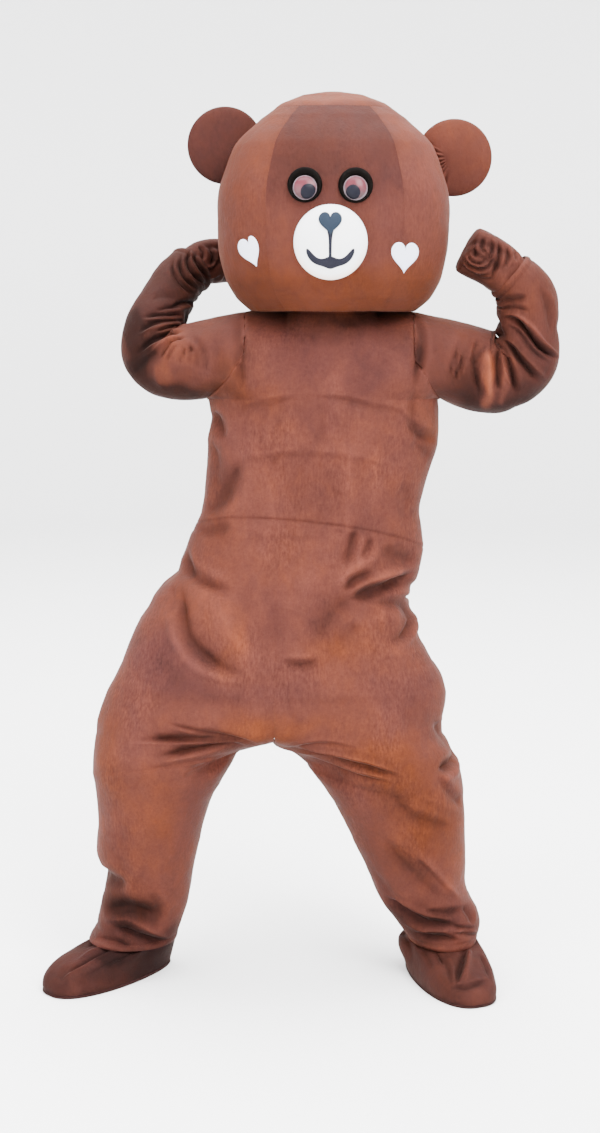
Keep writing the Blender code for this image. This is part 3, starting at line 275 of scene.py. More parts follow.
SLEEVE_CREASES = {
    "left": (
        ((-292, -23, -324, -21, -354, -29, -377, -46), 4.5, 9, 0.5),
        ((-289, -42, -319, -48, -352, -61, -380, -86), 5, 12, 0.5),
        ((-292, -13, -331, -9, -370, -15), 4, 8, 0.5), ((-268, 12, -291, 12, -314, 4), 4, 9, 0.5),
        ((-290, -49, -321, -63, -351, -84, -380, -100), 3.4, -7, 0),
        ((-309, -61, -322, -78, -332, -97), 2.6, 6, 0.3), ((-297, -65, -312, -82, -320, -103), 2.6, 5, 0.3),
        ((-288, -32, -316, -34, -342, -43), 2.6, 6, 0.4), ((-284, -55, -302, -57, -322, -68), 2.6, 7, 0.4),
        ((-283, -66, -287, -84, -296, -104), 2.4, 6, 0.4), ((-276, -66, -273, -85, -277, -108), 2.4, 6, 0.4),
        ((-290, 2, -318, 3, -345, -2), 3, 5, 0.4), ((-332, -82, -356, -89, -380, -113, -394, -134), 9, 9, 0),
        ((-282, -63, -264, -85, -258, -120), 5, 7, 0.4), ((-268, -49, -248, -81, -243, -131), 6, 7, 0.4),
        ((-336, -101, -339, -128, -328, -152), 6, -5, 0),
        ((-297, 111, -299, 84, -287, 59, -262, 36), 3.2, 9, 0.6),
        ((-280, 119, -284, 92, -270, 67, -248, 46), 3.2, 9, 0.6),
        ((-313, 105, -313, 74, -296, 49, -270, 24), 3.4, 7, 0.6),
        ((-263, 124, -269, 101, -257, 77, -238, 58), 3, 7, 0.5), ((-355, 18, -328, 25, -294, 18), 7, 3, 0.3),
        ((-225, -68, -211, -100, -216, -139), 9, 4, 0.3),
    ),
    "right": (
        ((253, -42, 243, -70, 229, -108, 220, -147), 4, 9, 0.5),
        ((268, -47, 254, -81, 239, -123, 229, -151), 4, 10, 0.5),
        ((284, -53, 274, -81, 268, -112), 3.6, 9, 0.4),
        ((298, -65, 281, -87, 274, -115, 282, -170), 4.5, 10, 0.3),
        ((294, -70, 301, -119, 301, -178), 7, -7, 0), ((314, -71, 314, -116, 322, -162), 5.5, 12, 0.3),
        ((322, -67, 328, -108, 345, -156), 3, -6, 0), ((330, -74, 340, -112, 356, -166), 5.5, 13, 0.3),
        ((336, -65, 364, -100, 399, -140), 6, 14, 0), ((346, -68, 380, -104, 416, -137), 3.4, -6, 0),
        ((329, -59, 342, -72, 355, -85), 3, 7, 0.4),
        ((329, -17, 348, -19, 370, -39, 399, -72, 438, -96), 4.6, 18, 0.6),
        ((337, -32, 358, -47, 383, -78, 418, -105), 4.5, 8, 0.4), ((322, 20, 345, 16, 372, 24), 6, 7, 0.3),
        ((396, 40, 411, 2, 420, -47), 7, 5, 0.4), ((324, 0, 344, 2, 376, -5), 5, 5, 0.3),
        ((192, -30, 198, -77, 196, -135), 9, 5, 0.3), ((224, -25, 214, -68, 206, -119), 7, 4, 0.3),
    ),
}
MITT_CREASES = {
    "left": (
        ((-265, 127, -254, 109, -262, 89), 3, 6, 0.4), ((-245, 123, -234, 105, -242, 83), 3, 6, 0.4),
        ((-269, 93, -252, 75, -232, 81, -225, 98), 3, 7, 0.5), ((-258, 65, -239, 54, -219, 66), 3, 7, 0.5),
        ((-242, 44, -219, 52, -206, 73), 3, 5, 0.4), ((-281, 81, -270, 58, -251, 46), 3, 7, 0.5),
    ),
    "right": (
        ((271, 131, 266, 113, 275, 96), 2.8, 6, 0.4), ((287, 135, 283, 116, 291, 100), 2.8, 6, 0.4),
        ((300, 132, 303, 111, 294, 88), 3, 6, 0.4), ((314, 128, 317, 101, 308, 74, 300, 50), 3.2, 9, 0.4),
        ((331, 119, 334, 96, 326, 75), 3.2, 7, 0.4), ((347, 109, 351, 89), 3, 5, 0.4),
        ((245, 98, 258, 81, 277, 74, 295, 79, 304, 96), 2.8, 7, 0.5),
        ((255, 107, 261, 92, 278, 85, 290, 94), 2.6, 6, 0.5),
        ((239, 90, 254, 71, 276, 61, 300, 64), 3, 7, 0.5), ((266, 61, 285, 54, 308, 57), 3, 5, 0.4),
        ((254, 121, 247, 108, 240, 97), 3, 4, 0.4),
    ),
}

# Creases of the foot covers, drawn the same way as x and y seen from above
FOOT_CREASES = {
    "left": (
        ((-415, -59, -458, -82, -494, -119, -534, -148), 4.5, 11, 0.5),
        ((-428, -55, -472, -66, -511, -112), 3.6, -5, 0),
        ((-392, -71, -431, -105, -464, -134, -505, -158), 5, 5, 0.3),
        ((-339, 5, -377, -59, -420, -104, -456, -134), 6.5, 10, 0.5),
        ((-364, -47, -412, -96, -453, -129), 4, -4, 0), ((-441, -46, -473, -18, -495, -59), 3.6, 6, 0.4),
        ((-470, 23, -492, 2, -516, -33), 3.4, 4, 0.4), ((-332, 40, -358, -28, -394, -77), 5, 7, 0.4),
        ((-521, -126, -531, -140, -537, -156), 6, 3, 0.3),
    ),
    "right": (
        ((275, -58, 258, -135, 246, -183, 241, -196), 5, 12, 0.5),
        ((283, -67, 273, -143, 261, -195), 4, -6, 0), ((204, -56, 216, -88, 222, -137), 3.4, 6, 0.4),
        ((187, -70, 198, -118, 204, -149), 4, 3, 0.3), ((230, -189, 266, -199, 310, -173), 4, 6, 0.5),
        ((299, -83, 308, -135, 312, -174), 4, 5, 0.4), ((223, -74, 231, -157, 234, -191), 5, 5, 0.3),
        ((164, -25, 156, 17, 167, -83), 6, 4, 0.3),
    ),
}

# Sleeves, all round: where along the arm (0 to 1) a fold starts, the angle round it where it is
# deepest (0 under the arm, 90 in front, 180 above it and inside the elbow), how far it runs each
# way, how much it fans out along the arm in front and behind, and its width and depth in millimetres
SLEEVE_FOLD_LIP = 0.25
SLEEVE_FOLDS = {
    "left": (
        (0.415, 200, 70, -0.1, -0.12, 6.5, 8), (0.455, 195, 80, -0.055, -0.07, 6.5, 10),
        (0.49, 190, 90, -0.01, -0.02, 7, 14), (0.53, 200, 80, 0.04, 0.05, 6.5, 11),
        (0.57, 205, 80, 0.1, 0.1, 6.5, 10), (0.64, 210, 60, 0.1, 0.12, 6.5, 7),
        (0.77, 250, 90, -0.03, -0.03, 6, 7), (0.83, 240, 100, -0.03, -0.02, 5, 7),
        (0.89, 250, 110, -0.02, -0.02, 5, 7), (0.945, 230, 120, -0.02, -0.03, 5, 5),
        (0.18, 300, 60, 0.05, 0.06, 12, 6), (0.3, 320, 50, -0.05, 0.04, 11, 5),
    ),
    "right": (
        (0.345, 205, 70, -0.15, -0.15, 6.5, 8), (0.385, 200, 80, -0.115, -0.11, 7, 10),
        (0.425, 190, 90, -0.06, -0.06, 7.5, 14), (0.46, 195, 90, 0, 0.02, 7.5, 13),
        (0.5, 205, 85, 0.07, 0.08, 7, 11), (0.64, 215, 80, -0.15, 0.08, 9, 13),
        (0.79, 215, 70, -0.07, 0.04, 9, 11), (0.87, 240, 80, -0.03, 0.03, 7, 7),
        (0.94, 230, 90, -0.02, 0.02, 6, 6), (0.2, 300, 60, -0.08, 0.05, 11, 6),
        (0.56, 330, 50, -0.05, 0.05, 10, 6), (0.33, 340, 50, 0.06, -0.05, 12, 6),
    ),
}

# Mitts: grooves of the curled fingers as (angle, depth, slant), all of one half width in degrees
MITT_GROOVES = ((60, 0.0050, 14), (96, 0.0045, 4), (200, 0.0060, 10), (240, 0.0060, 0), (285, 0.0050, -8))
GROOVE_WIDTH, GROOVE_LIP = 9, 0.35

# Patches where the pile lies another way, and patches of painted light and shade: the painted
# shadow under the head, painted shade on undersides, elbows, lower legs and feet, and painted
# highlights on ridges of the sleeves and feet. Each is on the front (-1), the back (+1) or both (0),
# with the middle (x, z) and the reach each way in millimetres, how much lighter (+) or darker (-)
# and how much warmer (+) or cooler (-) it looks there
NAP_AND_SHADE_PATCHES = (
    (0, 2, 20, 300, 60, -0.13, 1), (-1, 90, 130, 50, 50, 0, -0.45), (-1, -140, 290, 50, 70, 0.1, 0.2),
    (-1, 150, 250, 50, 80, 0.14, 0.1), (-1, -20, 60, 110, 30, -0.05, 0.3), (-1, 2, 190, 30, 40, -0.08, -0.2),
    (-1, 0, -35, 170, 40, -0.4, -0.45), (-1, 0, -8, 88, 26, -0.4, -0.2),
    (-1, -60, -100, 75, 50, -0.12, -0.6), (-1, 60, -120, 45, 55, -0.15, -0.45),
    (-1, 130, -100, 40, 50, 0.06, -0.1), (-1, -120, -170, 50, 60, 0.08, 0),
    (-1, -200, -140, 30, 50, -0.1, 0.8), (-1, 180, -220, 30, 50, 0, 0.4),
    (-1, 20, -250, 110, 80, 0.04, -0.15), (-1, -30, -200, 30, 30, -0.1, -0.4),
    (-1, 100, -380, 50, 50, -0.08, -0.15), (-1, -60, -500, 120, 60, 0.04, 0.05),
    (-1, -115, -590, 26, 50, -0.1, -0.35), (-1, -30, -600, 40, 36, -0.12, -0.35),
    (-1, -190, -630, 26, 50, 0.06, 0.6), (-1, -320, -690, 90, 60, -0.1, -0.8),
    (-1, -190, -725, 120, 24, -0.08, -0.55), (-1, 130, -740, 80, 40, -0.08, -0.55),
    (-1, -110, -800, 100, 30, 0.22, 1), (-1, 20, -650, 70, 30, 0.04, 0.55),
    (-1, 100, -870, 90, 50, -0.04, 0.9), (-1, 160, -970, 90, 90, -0.14, 0.9),
    (-1, 200, -1080, 80, 60, -0.16, 0.6), (-1, -440, -870, 40, 100, -0.06, 0.7),
    (-1, -370, -990, 50, 100, -0.03, 0.45), (-1, -280, -930, 50, 100, 0.04, -0.2),
    (0, -430, -1195, 80, 50, -0.82, 0.1), (0, -400, -1262, 120, 30, -0.62, -0.2),
    (0, 200, -1225, 130, 50, -0.62, -0.4), (0, -384, -90, 26, 75, -0.6, 0.1),
    (0, -290, -165, 80, 26, -0.64, 0.15), (0, -360, -1325, 60, 22, -0.5, -0.15),
    (0, -520, -1325, 22, 18, 0.25, 0.1), (0, 290, -1335, 35, 14, 0.22, 0.15),
    (0, -318, -118, 14, 36, 0.46, 0.55), (0, -345, 30, 50, 50, -0.05, -0.7),
    (0, -298, -70, 36, 22, 0.4, 0.4), (0, -376, -45, 20, 35, -0.3, -0.2),
    (0, -215, -80, 50, 80, -0.16, -0.3), (0, 200, -70, 46, 80, -0.06, -0.3),
    (0, 258, -140, 36, 56, -0.5, 0.15), (0, 340, -195, 90, 32, -0.5, 0.1), (0, 301, -128, 14, 56, 1.1, 0.7),
    (0, 405, -10, 40, 80, 0.18, -0.25), (0, 355, 30, 36, 36, 0.2, 0.1), (0, 339, -130, 9, 42, 0.5, 0.2),
    (1, -60, 250, 120, 100, -0.12, -0.5), (1, 80, -150, 90, 80, 0.08, -0.3),
    (1, -120, -260, 80, 80, -0.1, 0.4), (1, -60, -600, 120, 80, 0.08, -0.3),
    (1, -380, -900, 80, 100, -0.1, 0.7), (1, 160, -950, 80, 100, 0.06, 0.4),
    (1, -80, -780, 120, 40, -0.05, 0.7),
)
# How much painted shade darkens each sleeve below the shoulder
SLEEVE_SHADE = {"left": 0.72, "right": 0.46}
# Panels whose pile runs another way from their neighbours', with painted light and shade on top:
# the crown painted lighter as if lit from above, and the face, the left side, the ears, the mitts and
# the feet painted darker, partly for their nap and partly as painted shade. Tone, warmth, and the
# heights between which the difference comes in
PANEL_NAP_AND_SHADE = {
    "head_face": (-0.48, -0.55, 0.150, 0.262), "head_crown": (0.32, 0.50, 0.360, 0.380),
    "head_side_left": (-0.12, 0.20, -0.2, -0.1),
    "ear_left_front": (-0.50, -0.55, 0.200, 0.240), "ear_right_front": (-0.08, 0.10, 0.200, 0.240),
    "mitt_left": (-0.42, -0.20, -0.100, 0.000), "mitt_right": (-0.34, -0.10, -0.100, 0.000),
    "foot_left_upper": (-0.74, -0.40, -2.0, -1.9), "foot_right_upper": (-0.58, -0.35, -2.0, -1.9),
}

# ---- curves and grids ----


def unit(vectors):
    lengths = np.linalg.norm(vectors, axis=-1, keepdims=True)
    return vectors / np.maximum(lengths, 1e-12)


def smooth_step(value):
    value = np.clip(value, 0.0, 1.0)
    return value * value * (3 - 2 * value)


def round_turns(count):
    """Evenly spaced turns once round, in radians."""
    return np.linspace(0, 2 * math.pi, count, endpoint=False)


def round_angles(count):
    """Evenly spaced angles once round, in degrees."""
    return np.arange(count) * 360 / count


def turned_from(angles, angle):
    """How far angles are from another one, between -180 and 180 degrees."""
    return (angles - angle + 180) % 360 - 180


def steady_slopes(values):
    """Slopes that never let a curve swing past its own values."""
    steps = np.diff(values, axis=0)
    before, after = steps[:-1], steps[1:]
    both = np.where(before + after == 0, 1, before + after)
    together = np.where(before * after > 0, 2 * before * after / both, 0)
    return np.concatenate([steps[:1], together, steps[-1:]])


def curve_through(values, at, steady=False):
    """A smooth curve through evenly numbered values, read at the places in at (0 to 1)."""
    values = np.asarray(values, float)
    if values.ndim == 1:
        values = values[:, None]
    last = len(values) - 1
    where = np.clip(np.asarray(at, float), 0, 1) * last
    index = np.minimum(where.astype(int), last - 1)
    part = (where - index)[..., None]
    slopes = steady_slopes(values) if steady else np.gradient(values, axis=0)
    square, cube = part * part, part * part * part
    found = ((2 * cube - 3 * square + 1) * values[index] + (cube - 2 * square + part) * slopes[index]
             + (3 * square - 2 * cube) * values[index + 1] + (cube - square) * slopes[index + 1])
    return found[..., 0] if found.shape[-1] == 1 else found


def grid_normals(grid, closed):
    along = np.gradient(grid, axis=0)
    if closed:
        across = np.roll(grid, -1, axis=1) - np.roll(grid, 1, axis=1)
    else:
        across = np.gradient(grid, axis=1)
    return unit(np.cross(along, across))


def border_places(panel):
    """Row and column numbers of the points on a panel's free edges."""
    rows, columns = panel.grid.shape[:2]
    found = [(0, j) for j in range(columns)]
    if not panel.cap:
        found += [(rows - 1, j) for j in range(columns)]
    if not panel.closed:
        found += [(i, j) for i in range(1, rows - 1) for j in (0, columns - 1)]
    return found


def share_seam_normals(panels, within=0.0009):
    """Where panels meet smoothly, their normals at the seam are made the same."""
    points, normals, places = [], [], []
    for number, panel in enumerate(panels):
        for i, j in border_places(panel):
            points.append(panel.grid[i, j])
            normals.append(panel.normals[i, j])
            places.append((number, i, j))
    points, normals = np.array(points), np.array(normals)
    owners = np.array([place[0] for place in places])
    for k, (number, i, j) in enumerate(places):
        near = np.linalg.norm(points - points[k], axis=1) < within
        alike = near & (normals @ normals[k] > 0.15)
        if len(set(owners[alike])) > 1:
            panels[number].normals[i, j] = unit(normals[alike].sum(axis=0))


def find_normals(panels):
    for panel in panels:
        panel.normals = panel.outward * grid_normals(panel.grid, panel.closed)
    share_seam_normals(panels)


def new_panel(name, grid, inside, thickness=CLOTH, closed=False, cap=False):
    """A panel of the costume: a grid of points, and which way is out."""
    grid = np.asarray(grid, float)
    away = ((grid - inside) * grid_normals(grid, closed)).sum()
    return SimpleNamespace(name=name, grid=grid, closed=closed, cap=cap, thickness=thickness, step=1,
                           facing=None, outward=1.0 if away > 0 else -1.0, crease=np.zeros(grid.shape[:2]))


def edge_distance(panel, which):
    """Distance along the cloth from each point to the nearest of the named edges."""
    grid = panel.grid
    down = np.linalg.norm(np.diff(grid, axis=0), axis=-1)
    across = np.linalg.norm(np.diff(grid, axis=1), axis=-1)
    from_top = np.concatenate([np.zeros((1, grid.shape[1])), np.cumsum(down, axis=0)])
    from_left = np.concatenate([np.zeros((grid.shape[0], 1)), np.cumsum(across, axis=1)], axis=1)
    found = {"first_row": from_top, "last_row": from_top[-1:] - from_top,
             "first_column": from_left, "last_column": from_left[:, -1:] - from_left}
    return np.min([found[name] for name in which], axis=0)


def cloud(points, scale, seed, stretch=(1, 1, 1), octaves=2):
    """Smooth noise between about -1 and 1 at each point."""
    flat = points.reshape(-1, 3) * np.asarray(stretch) * scale + seed * 7.31
    values = np.array([noise.fractal(Vector(p), 1.0, 2.0, octaves) for p in flat])
    return values.reshape(points.shape[:-1])


# ---- folds ----


def trough(away, width, lip):
    """Depth of a fold at a distance from its line: a crease with a softer ridge on one side."""
    ridge = np.exp(-((away * np.sign(lip) / width - 1.8) / 0.8) ** 2)
    return np.exp(-np.abs(away / width) ** 1.5) - abs(lip) * 0.8 * ridge


def line_folds(points, normals, rows, axes=(0, 2), side=-1, soft=1.0):
    """How far the creases drawn as lines sink each point in; they fade where the cloth turns away."""
    flat = points[..., list(axes)].reshape(-1, 2)
    facing = smooth_step(normals[..., 3 - sum(axes)].ravel() * side / 0.45 + 0.5)
    total = np.zeros(len(flat))
    for line, width, depth, lip in rows:
        width, line = width / MM * soft, np.reshape(line, (-1, 2)) / MM
        track = curve_through(line, np.linspace(0, 1, 5 * len(line) - 4))
        low, high = track.min(axis=0) - 5 * width, track.max(axis=0) + 5 * width
        near = np.flatnonzero((flat > low).all(axis=1) & (flat < high).all(axis=1) & (facing > 0))
        if not len(near):
            continue
        run = np.diff(track, axis=0)
        length = np.linalg.norm(run, axis=1)
        offset = flat[near][:, None] - track[:-1]
        part = np.clip((offset * run).sum(axis=-1) / length ** 2, 0, 1)
        distance = np.linalg.norm(offset - part[..., None] * run, axis=-1)
        best = distance.argmin(axis=1)
        pick = np.arange(len(near))
        turned = run[best, 0] * offset[pick, best, 1] - run[best, 1] * offset[pick, best, 0]
        along = ((np.cumsum(length) - length)[best] + part[pick, best] * length[best]) / length.sum()
        taper = smooth_step((along + 0.03) / 0.28) * smooth_step((1.03 - along) / 0.34)
        broad = width * (0.65 + 0.6 * np.sin(math.pi * along))
        away = distance[pick, best] * np.sign(turned)
        total[near] += depth / MM * taper * facing[near] * trough(away, broad, lip)
    return total.reshape(points.shape[:-1])


def suit_folds(points, normals):
    """Folds of the bodice and the trousers, a little uneven along their length."""
    vary = 1 + 0.3 * cloud(points, 26.0, 31.0, octaves=1)
    front = line_folds(points, normals, FRONT_FOLDS, soft=1.3)
    return vary * (front + line_folds(points, normals, BACK_FOLDS, side=1, soft=1.35))


def sleeve_folds(side, along, angles):
    """Folds that run round a sleeve, weaker in front, where its own creases are drawn."""
    total = np.zeros((len(along), len(angles)))
    front = 1 - 0.8 * smooth_step(1.6 - np.abs(turned_from(angles, 90)) / 60)
    for start, angle, spread, fan_front, fan_back, width, depth in SLEEVE_FOLDS[side]:
        turned = turned_from(angles[None, :], angle)
        fan = np.where(turned < 0, fan_front, fan_back)
        centre = start + fan * (np.abs(turned) / 90) ** 1.2
        away = (along[:, None] - centre) * ARM_LENGTH[side]
        reach = np.exp(-np.abs(turned / spread) ** 2.4)
        broad = width / MM * (1 + 0.5 * np.abs(turned) / 90)
        total += depth / MM * trough(away, broad, SLEEVE_FOLD_LIP) * reach
    return total * front


def seam_dip(panel, edges, depth, width=0.0045, pucker=0.0006):
    """The valley that a seam pulls into plush, with small puckers across it."""
    away = edge_distance(panel, edges)
    ripple = cloud(panel.grid, 55.0, 1.0, octaves=1)
    return depth * np.exp(-((away / width) ** 2)) + pucker * ripple * np.exp(-((away / 0.022) ** 2))


# ---- pattern of the head ----


def head_section(z):
    at = np.interp(z, HEAD_PROFILE["z"], np.linspace(0, 1, len(HEAD_PROFILE["z"])))
    return curve_through(HEAD_PROFILE["half_width"], at), curve_through(HEAD_PROFILE["half_depth"], at)


def head_point(angle, z):
    """A point of the head's outside: angle 0 is the front, 90 the viewer's right."""
    half_width, half_depth = head_section(z)
    turn, power = np.radians(angle), 2 / HEAD_ROUNDNESS
    sine, cosine = np.sin(turn), np.cos(turn)
    x = HEAD_X + half_width * np.sign(sine) * np.abs(sine) ** power
    y = -half_depth * np.sign(cosine) * np.abs(cosine) ** power
    return np.stack([x, y, np.broadcast_to(z, np.shape(x))], axis=-1)


def head_front(x, z):
    """The point of the head's front at (x, z), with its outward normal."""
    def point(px, pz):
        half_width, half_depth = head_section(pz)
        side = np.clip(np.abs(px - HEAD_X) / half_width, 0, 0.999)
        y = -half_depth * (1 - side ** HEAD_ROUNDNESS) ** (1 / HEAD_ROUNDNESS)
        return np.stack([px, y, pz], axis=-1)

    step = 0.002
    along_x = point(x + step, z) - point(x - step, z)
    along_z = point(x, z + step) - point(x, z - step)
    return point(x, z), unit(np.cross(along_x, along_z))


def raised(surface, at, dome):
    """The surface of a dome that lies on another surface, for what is sewn on the dome."""
    def found(x, z):
        points, normals = surface(x, z)
        away = np.hypot(x - at[0], z - at[1])
        step = 0.0015
        slope = (dome(away + step) - dome(np.abs(away - step))) / (2 * step)
        out = np.stack([(x - at[0]), np.zeros_like(x), (z - at[1])], axis=-1)
        out = out / np.maximum(away, 1e-6)[..., None]
        return points + normals * dome(away)[..., None], unit(normals - out * slope[..., None])
    return found


def muzzle_dome(away):
    share = np.clip(1 - (away / MUZZLE_RADIUS) ** 2, 0, 1)
    return 0.004 + (MUZZLE_HEIGHT - 0.004) * share ** 0.6


def heart_outline(size, width=1.0, tilt=0.0, squeeze=1.0):
    """Radius of a heart, notch up, at each angle: size is its half height, squeeze narrows its right."""
    t = np.linspace(0, 2 * math.pi, 720)
    x = width * 16 * np.sin(t) ** 3
    x = np.where(x > 0, x * squeeze, x)
    z = 13 * np.cos(t) - 4.4 * np.cos(2 * t) - 2 * np.cos(3 * t) - np.cos(4 * t) + 2.5
    angle = np.mod(np.arctan2(z, x) + math.radians(tilt), 2 * math.pi)
    order = np.argsort(angle)
    radius = np.hypot(x, z) * size / 15.0
    return lambda turns: np.interp(turns, angle[order], radius[order], period=2 * math.pi)


# ---- pattern of the suit ----


def bent(angle):
    """Cosine and sine of a section's angle, squared off a little."""
    cosine, sine = np.cos(angle), np.sin(angle)
    return np.sign(cosine) * np.abs(cosine) ** SECTION_POWER, np.abs(sine) ** SECTION_POWER


def torso_value(column, z):
    at = np.interp(z, TORSO["z"], np.linspace(0, 1, len(TORSO["z"])))
    return curve_through(TORSO[column], at, steady=True)


def armhole(side, angle):
    """A point of the armhole edge: 0 is the armpit, 180 the shoulder tip, 90 the front."""
    (low_x, low_z), (tip_x, tip_z) = ARMPIT[side], SHOULDER_TIP[side]
    turn = np.radians(angle)
    out = ((1 + np.cos(turn)) / 2) ** 3
    x = tip_x + (low_x - tip_x) * out
    y = -ARMHOLE_DEPTH * np.sin(turn)
    z = (low_z + tip_z) / 2 + (low_z - tip_z) / 2 * np.cos(turn)
    return np.stack([x, y, z], axis=-1)


def bodice_row(left, right, centre, neck):
    """One row across the front or back; neck runs from 0 to 1 where the row becomes the neckline."""
    cosine, sine = bent(np.linspace(math.pi, 0, BODICE_COLUMNS + 1))
    sine[0] = sine[-1] = 0.0
    middle, half = (left[0] + right[0]) / 2, (right[0] - left[0]) / 2
    x = middle + half * cosine
    share = (x - left[0]) / (2 * half)
    round_neck = np.sqrt(np.clip(1 - (x / NECK_HALF_WIDTH) ** 2, 0, 1))
    bow = sine + (round_neck - sine) * neck
    y = left[1] + (right[1] - left[1]) * share + (centre[0] - (left[1] + right[1]) / 2) * bow
    z = left[2] + (right[2] - left[2]) * share + (centre[1] - (left[2] + right[2]) / 2) * bow ** 1.3
    return np.stack([x, y, z], axis=-1)


def bodice_grid(sign):
    """Rows from the waist seam to the neckline: sign is -1 for the front and +1 for the back."""
    depth = "front" if sign < 0 else "back"
    rows = []
    for part in np.linspace(0, 1, LOWER_ROWS + 1):
        left_z = WAIST_Z["left"] + (ARMPIT["left"][1] - WAIST_Z["left"]) * part
        right_z = WAIST_Z["right"] + (ARMPIT["right"][1] - WAIST_Z["right"]) * part
        centre_z = WAIST_Z["centre"] + (CHEST_Z - WAIST_Z["centre"]) * part
        left = (torso_value("left", left_z), 0, left_z)
        right = (torso_value("right", right_z), 0, right_z)
        rows.append(bodice_row(left, right, (sign * torso_value(depth, centre_z), centre_z), 0))
    neck_depth = NECK_FRONT if sign < 0 else NECK_BACK
    chest = torso_value(depth, CHEST_Z)
    for part in np.linspace(0, 1, UPPER_ROWS + 1)[1:]:
        left, right = armhole("left", 180 * part), armhole("right", 180 * part)
        left[1], right[1] = left[1] * -sign, right[1] * -sign
        centre_y = sign * (chest + (neck_depth - chest) * part ** 2.2)
        centre = (centre_y, CHEST_Z + (NECK_Z - CHEST_Z) * part)
        rows.append(bodice_row(left, right, centre, smooth_step((part - 0.45) / 0.55)))
    return np.stack(rows)


def leg_places():
    even = np.linspace(0, 1, LEG_ROWS + 1)
    return even, even + 0.04 * np.sin(2 * math.pi * even)


def leg_sections():
    even, at = leg_places()
    rows = {name: curve_through(values, at, steady=True) for name, values in LEGS.items()}
    rows["turn"] = np.clip(curve_through(LEG_TURN, at, steady=True), 90, 180)
    rows["turn"][even < 0.15] = 90
    return rows


def edge_shift(edge, z):
    """How far an edge of a leg stands out at each height."""
    heights, shifts = np.array(LEG_EDGES[edge][::-1]).T / MM
    return np.interp(z, heights, shifts, right=0.0)


def leg_grid(side, sign, rows):
    """A quarter of the trousers, from the side seam to the centre seam or inseam."""
    turn = np.radians(rows["turn"])[:, None]
    cosine, sine = bent(turn * np.linspace(0, 1, LEG_COLUMNS + 1)[None, :])
    end_cosine, _ = bent(turn)
    share = (1 - cosine) / (1 - end_cosine)
    outer_z, seam_z = rows[f"{side}_z"], rows["seam_z"]
    outer_x = (rows[f"{side}_x"] + edge_shift(side, outer_z))[:, None]
    inner_x = (rows[f"{side}_seam_x"] + edge_shift(f"{side}_seam", seam_z))[:, None]
    x = outer_x + (inner_x - outer_x) * share
    y = sign * rows["front" if sign < 0 else "back"][:, None] * sine
    if sign < 0:
        near = np.exp(-((outer_z[:, None] - THIGH_Z) / THIGH_REACH) ** 2)
        y = y * (1 - THIGH_FLAT[side] * near * smooth_step((share - 0.62) / 0.28))
    droop = np.clip(share + 0.25 * sine * (1 - share), 0, 1)
    z = outer_z[:, None] + (seam_z - outer_z)[:, None] * droop
    sag = CROTCH_SAG * np.exp(-((seam_z - CROTCH_Z) / CROTCH_REACH) ** 2)
    z = z - sag[:, None] * smooth_step((share - 0.6) / 0.4)
    return np.stack([x, y, z], axis=-1)


def match_waist(grid, bodice, side):
    """Sets a leg panel's top row on the bodice's lowest row, and eases the rows below to it."""
    half = BODICE_COLUMNS // 2
    row = bodice[0][: half + 1] if side == "left" else bodice[0][half:][::-1]
    even, _ = leg_places()
    return grid + (row - grid[0])[None] * smooth_step(1 - even * 6)[:, None, None]


def tube_frame(side, centres):
    """Centres of a tube with the two directions across it: to the front and underneath."""
    tangent = unit(np.gradient(centres, axis=0))
    front = unit(np.array([0.0, -1.0, 0.0]) + tangent * tangent[:, 1:2])
    under = np.cross(front, tangent) if side == "left" else np.cross(tangent, front)
    return centres, front, under


def ring_points(centres, front, under, radius, angles):
    turn = np.radians(angles)[None, :, None]
    away = np.cos(turn) * under[:, None] + np.sin(turn) * front[:, None]
    return centres[:, None] + radius[..., None] * away


def sleeve_places():
    even = np.linspace(0, 1, SLEEVE_ROWS + 1)
    return even + 0.06 * np.sin(2 * math.pi * even)


def foot_axes(side):
    """Heel, toe and ankle of a foot seen from above, with the ways along and across it."""
    heel, toe, ankle = (np.array(FEET[side][name]) for name in ("heel", "toe", "ankle"))
    along = unit(toe - heel)
    return heel, toe, ankle, along, np.array([-along[1], along[0]])


def foot_outline(side, turn):
    """Points of the sole's outline round the foot; 0 is the toe and half a turn the heel."""
    heel, toe, _, along, across = foot_axes(side)
    length = np.linalg.norm(toe - heel) / 2
    forward = np.cos(turn)
    width = SOLE_HALF_WIDTH * np.sign(np.sin(turn)) * np.abs(np.sin(turn)) ** 0.8 * (1 + 0.16 * forward)
    return (heel + toe) / 2 + forward[:, None] * length * along + width[:, None] * across


# ---- meshes ----


def link(name, data):
    made = bpy.data.objects.new(name, data)
    bpy.context.scene.collection.objects.link(made)
    return made


def dress(mesh, surface, node):
    """Makes the object of a mesh that stands for a node of the frame."""
    mesh.materials.append(surface)
    made = link(mesh.name, mesh)
    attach(made, "root")
    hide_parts(node)
    return made


def round_end(grid, bulge, rows=7):
    """Closes the end of a tube of points with a rounded tip."""
    centre = grid[-1].mean(axis=0)
    out = unit(centre - grid[-2].mean(axis=0))
    turns = np.radians(np.linspace(0, 86, rows + 1)[1:])
    tip = [centre + (grid[-1] - centre) * math.cos(turn) + out * bulge * math.sin(turn)
           for turn in turns]
    return np.concatenate([grid, np.stack(tip)])


def rim(top, low, step):
    """Faces that join an edge of the outside to the coarser edge of the inside."""
    top, low = top.tolist(), low.tolist()
    return [(top[step * k], low[k], low[k + 1], *top[step * k + step:step * k:-1])
            for k in range(len(low) - 1)]


def quads_of(index):
    return np.stack((index[:-1, :-1], index[:-1, 1:], index[1:, 1:], index[1:, :-1]), axis=-1).reshape(-1, 4)


SHARP_ANGLE = math.radians(58)


